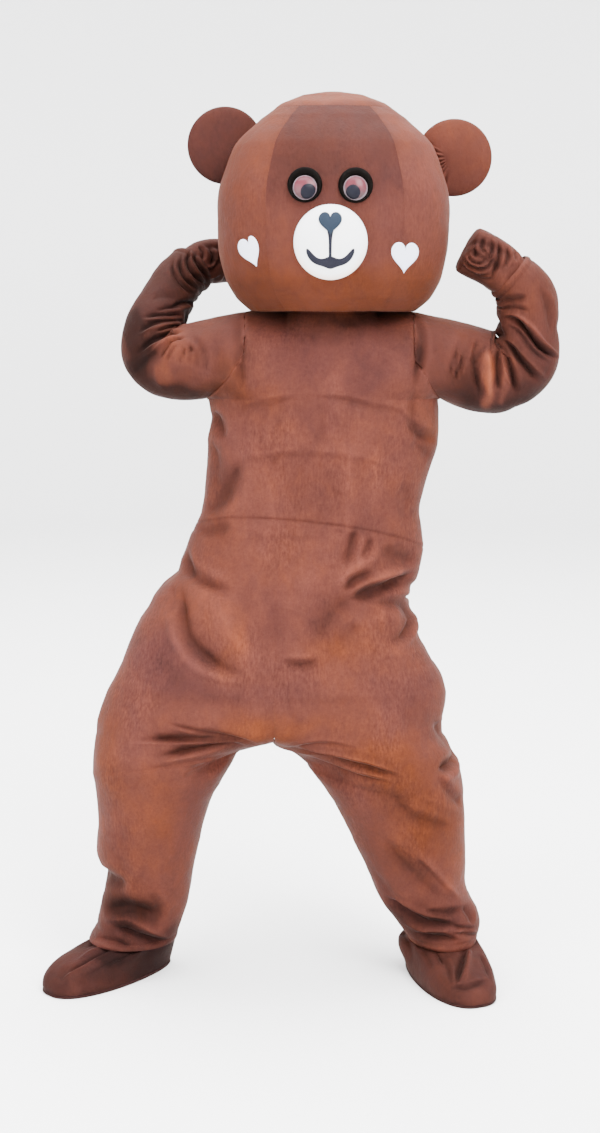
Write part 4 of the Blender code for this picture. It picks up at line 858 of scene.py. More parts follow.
def wall_mesh(name, outer, inner, closed, cap, step=1):
    """A closed wall between two grids of points, the inner one coarser, with a UV map in metres."""
    rows, columns = outer.shape[:2]
    count = rows * columns
    inner = inner[::step, ::step]
    top = np.arange(count).reshape(rows, columns)
    low = count + np.arange(inner.shape[0] * inner.shape[1]).reshape(inner.shape[:2])
    if closed:
        top, low = (np.concatenate([index, index[:, :1]], axis=1) for index in (top, low))
    points = np.concatenate([outer.reshape(-1, 3), inner.reshape(-1, 3)])
    faces = quads_of(top).tolist() + quads_of(low[:, ::-1]).tolist() + rim(top[0], low[0], step)
    if cap:
        end = len(points)
        points = np.concatenate([points, [outer[-1].mean(axis=0), inner[-1].mean(axis=0)]])
        faces += [(int(a), int(b), end) for a, b in zip(top[-1, :-1], top[-1, 1:])]
        faces += [(int(b), int(a), end + 1) for a, b in zip(low[-1, :-1], low[-1, 1:])]
    else:
        faces += [face[::-1] for face in rim(top[-1], low[-1], step)]
    if not closed:
        faces += [face[::-1] for face in rim(top[:, 0], low[:, 0], step)]
        faces += rim(top[:, -1], low[:, -1], step)
    corners = points[quads_of(top)]
    spin = np.cross(corners[:, 2] - corners[:, 0], corners[:, 3] - corners[:, 1])
    away = corners.mean(axis=1) - points[:2 * (count // 2)].mean(axis=0)
    if (spin * away).sum() < 0:
        faces = [face[::-1] for face in faces]
    mesh = bpy.data.meshes.new(name)
    mesh.from_pydata(points.tolist(), [], faces)
    mesh.update()
    across = np.linalg.norm(np.diff(outer, axis=1), axis=-1).mean(axis=0)
    down = np.linalg.norm(np.diff(outer, axis=0), axis=-1).mean(axis=1)
    u = np.concatenate([[0], np.cumsum(across)])[None, :].repeat(rows, axis=0)
    v = np.concatenate([[0], np.cumsum(down)])[:, None].repeat(columns, axis=1)
    flat = spread(np.stack([u, v], axis=-1), step, cap)
    ends = np.empty(len(mesh.loops), int)
    mesh.loops.foreach_get("vertex_index", ends)
    mesh.uv_layers.new(name="cloth").data.foreach_set("uv", flat[ends].ravel())
    mesh.shade_smooth()
    mesh.set_sharp_from_angle(angle=SHARP_ANGLE)
    return mesh


def spread(values, step, cap):
    """Values of a wall's outer points, repeated for its inner points and its poles."""
    values = values.reshape(*values.shape[:2], -1)
    count = values.shape[-1]
    rows = [values.reshape(-1, count), values[::step, ::step].reshape(-1, count)]
    if cap:
        rows.append(np.repeat(values[-1:, -1], 2, axis=0))
    return np.concatenate(rows)


def paint(mesh, name, values, step, cap):
    """Stores one value a point for the materials, the same on the outside and the inside."""
    made = mesh.attributes.new(name, "FLOAT", "POINT")
    made.data.foreach_set("value", spread(values, step, cap).ravel())


def nap_and_shade_of(panel):
    """How the pile lies at each point, with painted light and shade: lighter (+) or darker (-), and warmer
    (+) or cooler (-).
    """
    grid, name = panel.grid, panel.name
    x = grid[..., 0] + 0.030 * cloud(grid, 13.0, 5.0)
    z = grid[..., 2] + 0.030 * cloud(grid, 13.0, 9.0)
    # painted light on cloth that faces up, and stronger painted shade on cloth that faces down
    turned = (panel.normals if panel.facing is None else panel.facing)[..., 2]
    tone = 0.10 * np.clip(turned, 0, 1) - 0.50 * np.clip(-turned, 0, 1)
    tone = tone + 0.12 * cloud(grid, 9.0, 3.0, (1, 1, 0.7))
    warmth = 0.32 * cloud(grid, 6.0, 4.0)
    for side, *place, lighter, warmer in NAP_AND_SHADE_PATCHES:
        patch_x, patch_z, reach_x, reach_z = np.array(place) / MM
        # patches below the head's base, among them the painted shadow under the head, stay off the head
        if name.startswith("head") and patch_z < 0:
            continue
        facing = 1.0 if side == 0 else smooth_step(0.5 + grid[..., 1] * side / 0.06)
        away = ((x - patch_x) / reach_x) ** 2 + ((z - patch_z) / reach_z) ** 2
        share = np.exp(-away ** 1.5) * facing
        tone, warmth = tone + lighter * share, warmth + warmer * share
    if name in PANEL_NAP_AND_SHADE:
        lighter, warmer, low, high = PANEL_NAP_AND_SHADE[name]
        share = smooth_step((z - low) / (high - low))
        tone, warmth = tone + lighter * share, warmth + warmer * share
    # painted shade on each sleeve below the shoulder
    if name.startswith("sleeve"):
        shade = smooth_step(sleeve_places() * 3.6 - 0.35)[:, None]
        tone = tone - SLEEVE_SHADE[name.split("_")[1]] * shade
    return np.clip(tone, -1, 1), np.clip(warmth, -1, 1)


def deepest_near(panel):
    """The deepest crease next to each point: a coarser inside stays behind it."""
    padded = np.pad(panel.crease, ((1, 1), (0, 0)), mode="edge")
    padded = np.pad(padded, ((0, 0), (1, 1)), mode="wrap" if panel.closed else "edge")
    rows, columns = panel.crease.shape
    return np.max([padded[i:i + rows, j:j + columns] for i in range(3) for j in range(3)], axis=0)


DEEP_CREASE = 0.010


def panel_object(panel, surface, kind):
    """Makes the object of a panel that stands for the frame's node of the same name."""
    name, grid, cap, step = panel.name, panel.grid, panel.cap, panel.step
    deeper = 0.0
    if step > 1:
        deeper = np.clip(deepest_near(panel) - panel.crease, 0, DEEP_CREASE)[..., None]
    inner = grid - (panel.thickness + deeper) * panel.normals
    mesh = wall_mesh(f"{name}_{kind}", grid, inner, panel.closed, cap, step)
    # tone holds the nap with painted light and shade; crease gives painted shade in folds and painted light
    # on ridges and beside seams
    tone, warmth = nap_and_shade_of(panel)
    paint(mesh, "crease", np.clip(panel.crease / DEEP_CREASE, -1, 1), step, cap)
    paint(mesh, "tone", tone, step, cap)
    paint(mesh, "warmth", warmth, step, cap)
    return dress(mesh, surface, name)


def cut_size(panel):
    """Width and length of a panel's flat cut, and its area."""
    grid = panel.grid
    if panel.closed:
        grid = np.concatenate([grid, grid[:, :1]], axis=1)
    across = np.linalg.norm(np.diff(grid, axis=1), axis=-1)
    down = np.linalg.norm(np.diff(grid, axis=0), axis=-1)
    side = np.cross(grid[1:, :-1] - grid[:-1, :-1], grid[:-1, 1:] - grid[:-1, :-1])
    other = np.cross(grid[1:, :-1] - grid[1:, 1:], grid[:-1, 1:] - grid[1:, 1:])
    area = (np.linalg.norm(side, axis=-1) + np.linalg.norm(other, axis=-1)).sum() / 2
    width, length = across.sum(axis=1).max(), down.sum(axis=0).max()
    return (float(width), float(length)), float(np.clip(area, 0.31 * width * length, width * length))


def cloth_object(panel, surface):
    """Makes a sheet of cloth; the inside of its wall is half as fine where the counts allow it."""
    rows, columns = panel.grid.shape[:2]
    if rows % 2 and columns % 2 != panel.closed and not panel.cap:
        panel.step = 2
    made = panel_object(panel, surface, "cloth")
    flat, area = cut_size(panel)
    return made


def padded_object(panel, surface):
    made = panel_object(panel, surface, "pad")
    return made


# ---- making the panels ----


def shape_panels(panels, folds, details):
    """Gives panels their folds, and then their seams, hems and crumple, whose painted crease shade is
    stronger.
    """
    find_normals(panels)
    for sinking, weight in ((folds, 1.0), (details, 1.6)):
        for panel in panels:
            sunk = sinking(panel)
            panel.crease = panel.crease + weight * sunk
            panel.grid = panel.grid - sunk[..., None] * panel.normals
        find_normals(panels)


def crumple(grid, settings):
    broad = cloud(grid, 13.0, 11.0, (1, 1, 0.8)) * settings.crumple_height
    fine = cloud(grid, 48.0, 17.0, octaves=1) * settings.pile_height
    return broad + fine


HEM = 0.015


def hem_roll(panel, edge, height):
    """A turned hem: a low roll at the edge and the valley of its stitching."""
    away = edge_distance(panel, [edge])
    valley = 0.0009 * np.exp(-((away - HEM) / 0.0022) ** 2)
    return valley - height * np.exp(-((away - 0.0055) / 0.0055) ** 2)


SIDE_SEAM, BOTH_SEAMS = ("first_row", "first_column"), ("first_row", "first_column", "last_column")
PANEL_SEAMS = {
    "bodice_front": BOTH_SEAMS, "bodice_back_left": SIDE_SEAM,
    "bodice_back_right": ("first_row", "last_column"),
    "trouser_front_left": SIDE_SEAM, "trouser_front_right": SIDE_SEAM,
    "trouser_back_left": BOTH_SEAMS, "trouser_back_right": BOTH_SEAMS,
    "sleeve_left": ("first_row",), "sleeve_right": ("first_row",),
}


def suit_details(settings):
    def found(panel):
        name = panel.name
        depth, roll = (0.0003, 0.0020) if name.startswith("sleeve") else (0.0008, 0.0011)
        sunk = seam_dip(panel, PANEL_SEAMS[name], depth) + hem_roll(panel, "last_row", roll)
        if not name.startswith("sleeve"):
            sunk = sunk + seam_dip(panel, ("first_row",), 0.0014, 0.0024, 0)
        if name.startswith("trouser_front"):
            sunk = sunk + seam_dip(panel, ("last_column",), 0.0004, 0.003, 0.0003)
        return sunk - crumple(panel.grid, settings)
    return found


def light_seam_groove(panel, edge, after=0):
    """Painted light beside a seam that two panels pull on, lightening the shade of its groove."""
    seam_light = np.exp(-(edge_distance(panel, [edge]) / 0.007) ** 2)
    panel.crease[after:] -= 0.008 * seam_light[after:]


def sleeve_panel(side, settings):
    at = sleeve_places()
    path = curve_through(SLEEVES[side], at)
    centres, front, under = tube_frame(side, path[:, :3])
    angles = round_angles(SLEEVE_COLUMNS)
    sunk = sleeve_folds(side, at, angles) * settings.fold_depth
    sizes = path[:, 3][:, None] - sunk
    grid = ring_points(centres, front, under, sizes, angles)
    edge = armhole(side, angles)
    blend = smooth_step(at * 4.5)[:, None, None]
    grid = edge[None] * (1 - blend) + grid * blend
    inside = centres[:, None] * blend + edge.mean(axis=0) * (1 - blend)
    panel = new_panel(f"sleeve_{side}", grid, inside, closed=True)
    panel.crease = sunk * blend[..., 0]
    return panel


def suit_panels(settings):
    front, back = bodice_grid(-1), bodice_grid(1)
    half = BODICE_COLUMNS // 2
    panels = [new_panel("bodice_front", front, front * [0.2, 0, 1])]
    for side, part in (("left", slice(0, half + 1)), ("right", slice(half, None))):
        panels.append(new_panel(f"bodice_back_{side}", back[:, part], back[:, part] * [0, 0, 1]))
    rows = leg_sections()
    for side in SIDES:
        middle = (rows[f"{side}_x"] + rows[f"{side}_seam_x"]) / 2
        for name, sign, bodice in (("front", -1, front), ("back", 1, back)):
            grid = match_waist(leg_grid(side, sign, rows), bodice, side)
            inside = grid * [0, 0, 1] + middle[:, None, None] * [1, 0, 0]
            panels.append(new_panel(f"trouser_{name}_{side}", grid, inside))
    panels += [sleeve_panel(side, settings) for side in SIDES]

    def folds(panel):
        sunk = suit_folds(panel.grid, panel.normals)
        if panel.name.startswith("sleeve"):
            side = panel.name.split("_")[1]
            blend = smooth_step(sleeve_places() * 4.5)[:, None]
            own = line_folds(panel.grid, panel.normals, SLEEVE_CREASES[side])
            sunk = sunk * (1 - blend) + own * blend
        return sunk * settings.fold_depth

    shape_panels(panels, folds, suit_details(settings))
    # painted light along the armhole seams, against the shade in their grooves
    for panel in panels:
        if panel.name.startswith("sleeve"):
            light_seam_groove(panel, "first_row")
        elif panel.name == "bodice_front":
            light_seam_groove(panel, "first_column", LOWER_ROWS)
            light_seam_groove(panel, "last_column", LOWER_ROWS)
    return {panel.name: panel for panel in panels}


def placket_panel(left, right):
    """The strip over the zip, laid on the middle of the two backs."""
    span = 6
    seam = (left.grid[:, -1:] + right.grid[:, :1]) / 2
    grid = np.concatenate([left.grid[:, -1 - span:-1], seam, right.grid[:, 1:span + 1]], axis=1)
    normals = np.concatenate([left.normals[:, -1 - span:], right.normals[:, 1:span + 1]], axis=1)
    lane = np.linspace(-1, 1, 2 * span + 1)
    lift = STAND_OFF + CLOTH + 0.0008 * (1 - lane ** 4)
    placket = new_panel("back_placket", grid + normals * lift[None, :, None], 0)
    placket.normals = normals
    return placket


def mitt_panel(side, settings):
    """A fist-shaped mitt: a tube that starts inside the sleeve and closes at the knuckles."""
    at = np.linspace(0, 1, MITT_ROWS + 1) ** 0.85
    centres, front, under = tube_frame(side, curve_through(MITTS[side], at))
    size = MITT_RADIUS[side] * np.interp(at, MITT_SHAPE["along"], MITT_SHAPE["size"])
    size = np.convolve(np.pad(size, 4, mode="edge"), np.ones(9) / 9, mode="valid")
    angles = round_angles(MITT_COLUMNS)
    turn = np.radians(angles)
    square = (np.abs(np.cos(turn)) ** 3 + np.abs(np.sin(turn)) ** 3) ** (-1 / 3)
    sunk = np.zeros((len(at), MITT_COLUMNS))
    reach = smooth_step((at - 0.30) / 0.25)[:, None]
    for angle, depth, slant in MITT_GROOVES:
        away = turned_from(angles[None, :], angle + slant * (at[:, None] - 0.6))
        sunk += depth * reach * trough(away, GROOVE_WIDTH, GROOVE_LIP)
    radius = size[:, None] * square[None, :] - sunk * settings.fold_depth
    grid = round_end(ring_points(centres, front, under, radius, angles), 0.006)
    longer = [(0, len(grid) - len(at)), (0, 0)]
    inside = np.pad(centres, longer, mode="edge")[:, None]
    panel = new_panel(f"mitt_{side}", grid, inside, closed=True, cap=True)
    panel.crease = np.pad(sunk, longer, mode="edge")

    def folds(piece):
        return line_folds(piece.grid, piece.normals, MITT_CREASES[side]) * settings.fold_depth

    shape_panels([panel], folds, lambda piece: -crumple(piece.grid * 1.7, settings) * 0.9)
    return panel


def foot_panels(side, settings):
    """The upper of a foot cover, and the sole it is sewn to."""
    turn = np.radians(round_angles(FOOT_COLUMNS))
    sole = foot_outline(side, turn)
    heel, _, ankle, along, across = foot_axes(side)
    collar = ankle + ANKLE_RADIUS * (np.cos(turn)[:, None] * along + np.sin(turn)[:, None] * across)
    outward = unit(sole - (heel + along * SOLE_HALF_WIDTH))
    bulge = HEEL_BULGE[side] * smooth_step(-1.5 * np.cos(turn))[:, None] * outward
    low_z = FLOOR_Z + SOLE + 0.0006
    toe_share = smooth_step(np.cos(turn) * 1.2)
    shoulder_z = ANKLE_TOP_Z - 0.018 - 0.003 * toe_share
    rows = [np.column_stack([collar, ANKLE_TOP_Z + (shoulder_z - ANKLE_TOP_Z) * part])
            for part in np.linspace(0, 1, COLLAR_ROWS, endpoint=False)]
    parts = np.concatenate([np.zeros(COLLAR_ROWS), np.linspace(0, 1, FOOT_ROWS)])
    for part in parts[COLLAR_ROWS:]:
        lean = math.radians(90 * part)
        flat = collar * (1 - math.sin(lean)) + sole * math.sin(lean)
        flat = flat + bulge * math.sin(math.pi * part)
        rows.append(np.column_stack([flat, low_z + (shoulder_z - low_z) * math.cos(lean) ** 0.7]))
    grid = np.stack(rows)
    centre = np.array([*(ankle * 0.6 + sole.mean(axis=0) * 0.4), FLOOR_Z + 0.03])
    upper = new_panel(f"foot_{side}_upper", grid, centre, closed=True)

    def folds(panel):
        middle = smooth_step(parts / 0.15) * smooth_step((1.0 - parts) / 0.18)
        sunk = line_folds(panel.grid, panel.normals, FOOT_CREASES[side], (0, 1), 1)
        return sunk * middle[:, None] * settings.fold_depth

    def details(panel):
        crumpled = crumple(panel.grid, settings) * smooth_step((1.0 - parts[:, None]) / 0.12)
        return seam_dip(panel, ("last_row",), 0.0010, 0.004, 0.0008) - crumpled

    shape_panels([upper], folds, details)
    upper.grid[..., 2] = np.maximum(upper.grid[..., 2], low_z)
    middle = sole.mean(axis=0)
    rim_rows = ((0.985, 1.0), (1.0, 0.7), (1.0, 0.3), (0.985, 0.0))
    plate = [np.column_stack([middle + (sole - middle) * share, np.full(FOOT_COLUMNS, FLOOR_Z + SOLE * part)])
             for share, part in rim_rows]
    return upper, np.stack(plate)


def head_lumps(points):
    """The slight unevenness of plush glued over foam."""
    return 0.0014 * cloud(points, 11.0, 21.0) + 0.0004 * cloud(points, 60.0, 23.0, octaves=1)


def head_panels(settings):
    face = np.linspace(-FACE_ANGLE, FACE_ANGLE, FACE_COLUMNS + 1)
    right = np.linspace(FACE_ANGLE, BACK_ANGLE, SIDE_COLUMNS + 1)
    back = np.linspace(BACK_ANGLE, 360 - BACK_ANGLE, BACK_COLUMNS + 1)
    left = np.linspace(360 - BACK_ANGLE, 360 - FACE_ANGLE, SIDE_COLUMNS + 1)
    angles = {"head_face": face, "head_side_right": right, "head_back": back, "head_side_left": left}
    centre = np.array([HEAD_X, 0, 0.2])
    shares = np.linspace(0, 1, HEAD_ROWS + 1)
    heights = HEAD_BASE_Z + (CROWN_SEAM_Z - HEAD_BASE_Z) * (shares - 0.09 * np.sin(2 * math.pi * shares))
    panels = [new_panel(name, head_point(turns[None, :], heights[:, None]), centre, FOAM)
              for name, turns in angles.items()]
    ring = np.concatenate([turns[:-1] for turns in angles.values()])
    crown_heights = CROWN_SEAM_Z + (HEAD_TOP_Z - CROWN_SEAM_Z) * np.linspace(0, 1, 18) ** 0.8
    crown = round_end(head_point(ring[None, :], crown_heights[:, None]), 0.0008)
    panels.append(new_panel("head_crown", crown, centre, FOAM, closed=True, cap=True))
    turn = np.radians(ring)
    edge = head_point(ring, HEAD_BASE_Z)
    hole = np.stack([HEAD_X + NECK_HOLE * np.sin(turn), -NECK_HOLE * np.cos(turn), edge[:, 2]], axis=-1)
    base = np.stack([edge + (hole - edge) * part for part in np.linspace(0, 1, 12)])
    panels.append(new_panel("head_base", base, centre, FOAM, closed=True))

    def details(panel):
        edges = ("first_row",) if panel.closed else (*BOTH_SEAMS, "last_row")
        return seam_dip(panel, edges, 0.0007, 0.0040, 0.0004) - head_lumps(panel.grid)

    shape_panels(panels, lambda panel: np.zeros(panel.grid.shape[:2]), details)
    return panels


def face_surface(x, z):
    """The front of the head as it is sewn, for what lies on it."""
    points, normals = head_front(x, z)
    return points + normals * head_lumps(points)[..., None], normals


def circle(radius, shift=(0.0, 0.0)):
    """How far a circle reaches at each angle, seen from a point that its middle is shifted from."""
    def reach(turns):
        along = shift[0] * np.cos(turns) + shift[1] * np.sin(turns)
        return along + np.sqrt(radius ** 2 - shift[0] ** 2 - shift[1] ** 2 + along ** 2)
    return reach


def applique(name, surface, at, outline, height, look, inner=None, rings=14, columns=96,
             kind="felt"):
    """A piece that lies on a surface: outline gives its radius at an angle, height its thickness."""
    turns = round_turns(columns)
    shares = np.sin(np.linspace(0, math.pi / 2, rings + 1))[::-1]
    if inner is None:
        shares = np.maximum(shares, 0.02)
    hole = inner(turns) if inner else np.zeros(columns)
    spread_out = hole + shares[:, None] * (outline(turns) - hole)[None, :]
    x = at[0] + spread_out * np.cos(turns)
    z = at[1] + spread_out * np.sin(turns)
    points, normals = surface(x, z)
    share = shares[:, None] * np.ones_like(x)
    over = points + normals * height(share, spread_out)[..., None]
    mesh = wall_mesh(f"{name}_{kind}", over, points - normals * SUNK, True, inner is None)
    paint(mesh, "share", share, 1, inner is None)
    return dress(mesh, look, name), over


def strip(name, surface, line, half_width, look, lanes=9):
    """A strip of felt along a line of (x, z) points on a surface."""
    line = np.asarray(line, float)
    tangent = unit(np.gradient(line, axis=0))
    side = np.stack([-tangent[:, 1], tangent[:, 0]], axis=-1)
    half = np.broadcast_to(half_width, len(line))[:, None]
    places = np.sin(np.linspace(-math.pi / 2, math.pi / 2, lanes))
    at = np.stack([line + side * half * place for place in places])
    points, normals = surface(at[..., 0], at[..., 1])
    rise = FELT * np.sqrt(np.clip(1 - places ** 4, 0, 1))[:, None, None]
    mesh = wall_mesh(f"{name}_felt", points + normals * rise, points - normals * SUNK, False, False)
    return dress(mesh, look, name)


def ear_reach(side, turns):
    """Radius of an ear at each angle, cut short where it meets the side of the head."""
    x, z, radius = EARS[side]
    steps = np.linspace(0, radius, 300)
    found = np.full_like(turns, radius)
    for k, turn in enumerate(turns):
        along_x, along_z = x + steps * math.cos(turn), z + steps * math.sin(turn)
        half_width, _ = head_section(along_z)
        touching = (np.abs(along_x - HEAD_X) < half_width - 0.001) & (along_z < HEAD_TOP_Z + 0.0035)
        if touching.any():
            found[k] = steps[max(int(np.argmax(touching)) - 1, 1)]
    return found


def ear_panels(side, settings):
    x, z, radius = EARS[side]
    turns = round_turns(EAR_COLUMNS)
    reach = ear_reach(side, turns)
    shares = np.sin(np.linspace(math.pi / 2, 0.02, EAR_ROWS))
    away = shares[:, None] * reach[None, :]
    bulge = 0.003 + (EAR_THICKNESS / 2 - 0.003) * np.sqrt(np.clip(1 - (away / radius) ** 2, 0, 1))
    base = np.clip((radius - reach) / (0.25 * radius), 0, 1) * np.clip(shares * 2.2 - 1.2, 0, 1)[:, None]
    gathers = EAR_GATHERS[side] * np.cos(turns * 26 + 1.3 * np.sin(turns * 5)) * base
    inward = np.clip((1 - shares) * 4, 0, 1)[:, None]
    for half, sign in (("front", -1), ("back", 1)):
        full = np.stack([x + away * np.cos(turns), sign * bulge, z + away * np.sin(turns)], axis=-1)
        behind = np.array([x, -sign * 0.05, z])
        panel = new_panel(f"ear_{side}_{half}", full, behind, closed=True, cap=True)
        shape_panels([panel], lambda piece: gathers,
                     lambda piece: -0.6 * crumple(piece.grid * 1.5, settings) * inward)
        # the stuffing reaches from the plush to a flat seam in the middle of the ear
        panel.facing = panel.normals
        panel.thickness = 1.0
        panel.normals = panel.grid - (full * [1, 0, 1] + [0, sign * 0.0004, 0])
        yield panel


# ---- stitches ----


def seam_line(panel, edge, inset=0.0, lift=0.0003):
    """A line on a panel, at a distance inside one of its edges."""
    grid = panel.grid + lift * panel.normals
    rows = {"first_row": grid, "last_row": grid[::-1], "first_column": grid.swapaxes(0, 1),
            "last_column": grid.swapaxes(0, 1)[::-1]}[edge]
    steps = np.linalg.norm(np.diff(rows, axis=0), axis=-1).mean(axis=1)
    line = rows[int(np.searchsorted(np.cumsum(steps), inset))]
    return np.concatenate([line, line[:1]]) if panel.closed and edge.endswith("row") else line


def stitch_tree():
    """Geometry nodes that lay a stitch at every step along the lines of a mesh."""
    tree = bpy.data.node_groups.new("stitches", "GeometryNodeTree")
    for name, kind in (("Geometry", "Geometry"), ("Spacing", "Float"), ("Length", "Float"),
                       ("Radius", "Float"), ("Unevenness", "Float"), ("Seed", "Int"), ("Thread", "Material")):
        tree.interface.new_socket(name=name, in_out="INPUT", socket_type="NodeSocket" + kind)
    tree.interface.new_socket(name="Geometry", in_out="OUTPUT", socket_type="NodeSocketGeometry")

    def node(kind, settings=None, inputs=None, **named):
        made = tree.nodes.new(kind)
        for name, value in (settings or {}).items():
            setattr(made, name, value)
        sources = {**(inputs or {}), **{name.replace("_", " "): source for name, source in named.items()}}
        for name, source in sources.items():
            if isinstance(source, bpy.types.NodeSocket):
                tree.links.new(source, made.inputs[name])
            else:
                made.inputs[name].default_value = source
        return made.outputs

    given = node("NodeGroupInput")
    curve = node("GeometryNodeMeshToCurve", Mesh=given["Geometry"])["Curve"]
    spaced = node("GeometryNodeResampleCurve", {"mode": "LENGTH"}, Curve=curve, Length=given["Spacing"])
    ball = node("GeometryNodeMeshUVSphere", Segments=6, Rings=4, Radius=1.0)["Mesh"]
    tangent = node("GeometryNodeInputTangent")["Tangent"]
    turned = node("FunctionNodeAlignRotationToVector", {"axis": "X"}, Vector=tangent)["Rotation"]
    half = node("ShaderNodeMath", {"operation": "MULTIPLY"}, {0: given["Length"], 1: 0.5})[0]
    size = node("ShaderNodeCombineXYZ", X=half, Y=given["Radius"], Z=given["Radius"])[0]
    least = node("ShaderNodeMath", {"operation": "SUBTRACT"}, {0: 1.0, 1: given["Unevenness"]})[0]
    vary = node("FunctionNodeRandomValue", None, {2: least, 3: 1.0}, Seed=given["Seed"])[1]
    scaled = node("ShaderNodeVectorMath", {"operation": "SCALE"}, {0: size}, Scale=vary)[0]
    placed = node("GeometryNodeInstanceOnPoints", Points=spaced["Curve"], Instance=ball, Rotation=turned,
                  Scale=scaled)["Instances"]
    real = node("GeometryNodeRealizeInstances", Geometry=placed)["Geometry"]
    painted = node("GeometryNodeSetMaterial", Geometry=real, Material=given["Thread"])["Geometry"]
    node("NodeGroupOutput", Geometry=painted)
    return tree


def stitches(name, lines, settings, thread):
    """Sews rows of stitches along lines of points, and keeps them as a plain mesh."""
    points = np.concatenate(lines)
    starts = np.cumsum([0] + [len(line) for line in lines])
    edges = [(k, k + 1) for first, last in zip(starts, starts[1:]) for k in range(first, last - 1)]
    paths = bpy.data.meshes.new(name + "_lines")
    paths.from_pydata(points.tolist(), edges, [])
    made = link(name, paths)
    tree = bpy.data.node_groups.get("stitches") or stitch_tree()
    modifier = made.modifiers.new("stitches", "NODES")
    modifier.node_group = tree
    values = {"Spacing": settings.stitch_spacing, "Length": settings.stitch_length,
              "Radius": settings.stitch_radius, "Unevenness": 0.25, "Seed": settings.seed, "Thread": thread}
    for item in tree.interface.items_tree:
        if item.item_type == "SOCKET" and item.in_out == "INPUT" and item.name in values:
            modifier[item.identifier] = values[item.name]
    evaluated = made.evaluated_get(bpy.context.evaluated_depsgraph_get())
    mesh = bpy.data.meshes.new_from_object(evaluated)
    made.modifiers.remove(modifier)
    made.data = mesh
    mesh.name = name
    mesh.shade_smooth()
    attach(made, "root")
    return made


# ---- materials ----


class Value:
    """A number in a material: arithmetic on it adds Math nodes."""

    def __init__(self, tree, socket):
        self.tree, self.socket = tree, socket

    def _math(self, operation, *others):
        node = self.tree.nodes.new("ShaderNodeMath")
        node.operation = operation
        for slot, value in zip(node.inputs, (self, *others)):
            if isinstance(value, Value):
                self.tree.links.new(value.socket, slot)
            else:
                slot.default_value = value
        return Value(self.tree, node.outputs[0])

    __add__ = __radd__ = partialmethod(_math, "ADD")
    __mul__ = __rmul__ = partialmethod(_math, "MULTIPLY")
    __sub__ = partialmethod(_math, "SUBTRACT")
    above = partialmethod(_math, "MAXIMUM")
    below = partialmethod(_math, "MINIMUM")

    def __rsub__(self, other):
        return self * -1 + other

    def limited(self, low=0.0, high=1.0):
        return self.above(low).below(high)


class Look:
    """A material being built: its nodes, and short ways to add them."""

    def __init__(self, name):
        self.material = bpy.data.materials.new(name)
        self.material.use_nodes = True
        self.tree = self.material.node_tree
        self.tree.nodes.clear()
        self.shader = self.node("BsdfPrincipled")
        self.node("OutputMaterial", Surface=self.shader.outputs[0])
        self.place = self.node("TexCoord").outputs["Object"]

    def node(self, kind, settings=None, **inputs):
        made = self.tree.nodes.new("ShaderNode" + kind)
        for key, value in (settings or {}).items():
            setattr(made, key, value)
        for key, value in inputs.items():
            self.feed(made.inputs[key.replace("_", " ")], value)
        return made

    def feed(self, slot, value):
        """Sets an input, from a number, a colour or a socket."""
        if isinstance(value, Value):
            value = value.socket
        if isinstance(value, bpy.types.NodeSocket):
            self.tree.links.new(value, slot)
        else:
            slot.default_value = value

    def finish(self, **values):
        """Sets inputs of the shader by their names."""
        for key, value in values.items():
            self.feed(self.shader.inputs[key.replace("_", " ")], value)

    def height(self):
        return Value(self.tree, self.node("SeparateXYZ", Vector=self.place).outputs[2])

    def noise(self, scale, detail=2.0, roughness=0.5, stretch=None, distortion=0.0):
        place = self.place
        if stretch:
            place = self.node("Mapping", Vector=place, Scale=stretch).outputs[0]
        made = self.node("TexNoise", Vector=place, Scale=scale, Detail=detail, Roughness=roughness,
                         Distortion=distortion)
        return Value(self.tree, made.outputs[0])

    def attribute(self, name):
        return Value(self.tree, self.node("Attribute", {"attribute_name": name}).outputs["Fac"])

    def blend(self, first, second, share):
        made = self.node("Mix", {"data_type": "RGBA", "clamp_factor": True})
        for number, value in ((0, share), (6, first), (7, second)):
            self.feed(made.inputs[number], value)
        return made.outputs[2]

    def tinted(self, tone, amount):
        made = self.node("VectorMath", {"operation": "SCALE"}, Scale=amount)
        self.feed(made.inputs[0], tone)
        return made.outputs[0]

    def bump(self, height, distance, strength):
        self.finish(Normal=self.node("Bump", Height=height, Distance=distance, Strength=strength).outputs[0])


def colour(values):
    return (*values, 1.0)


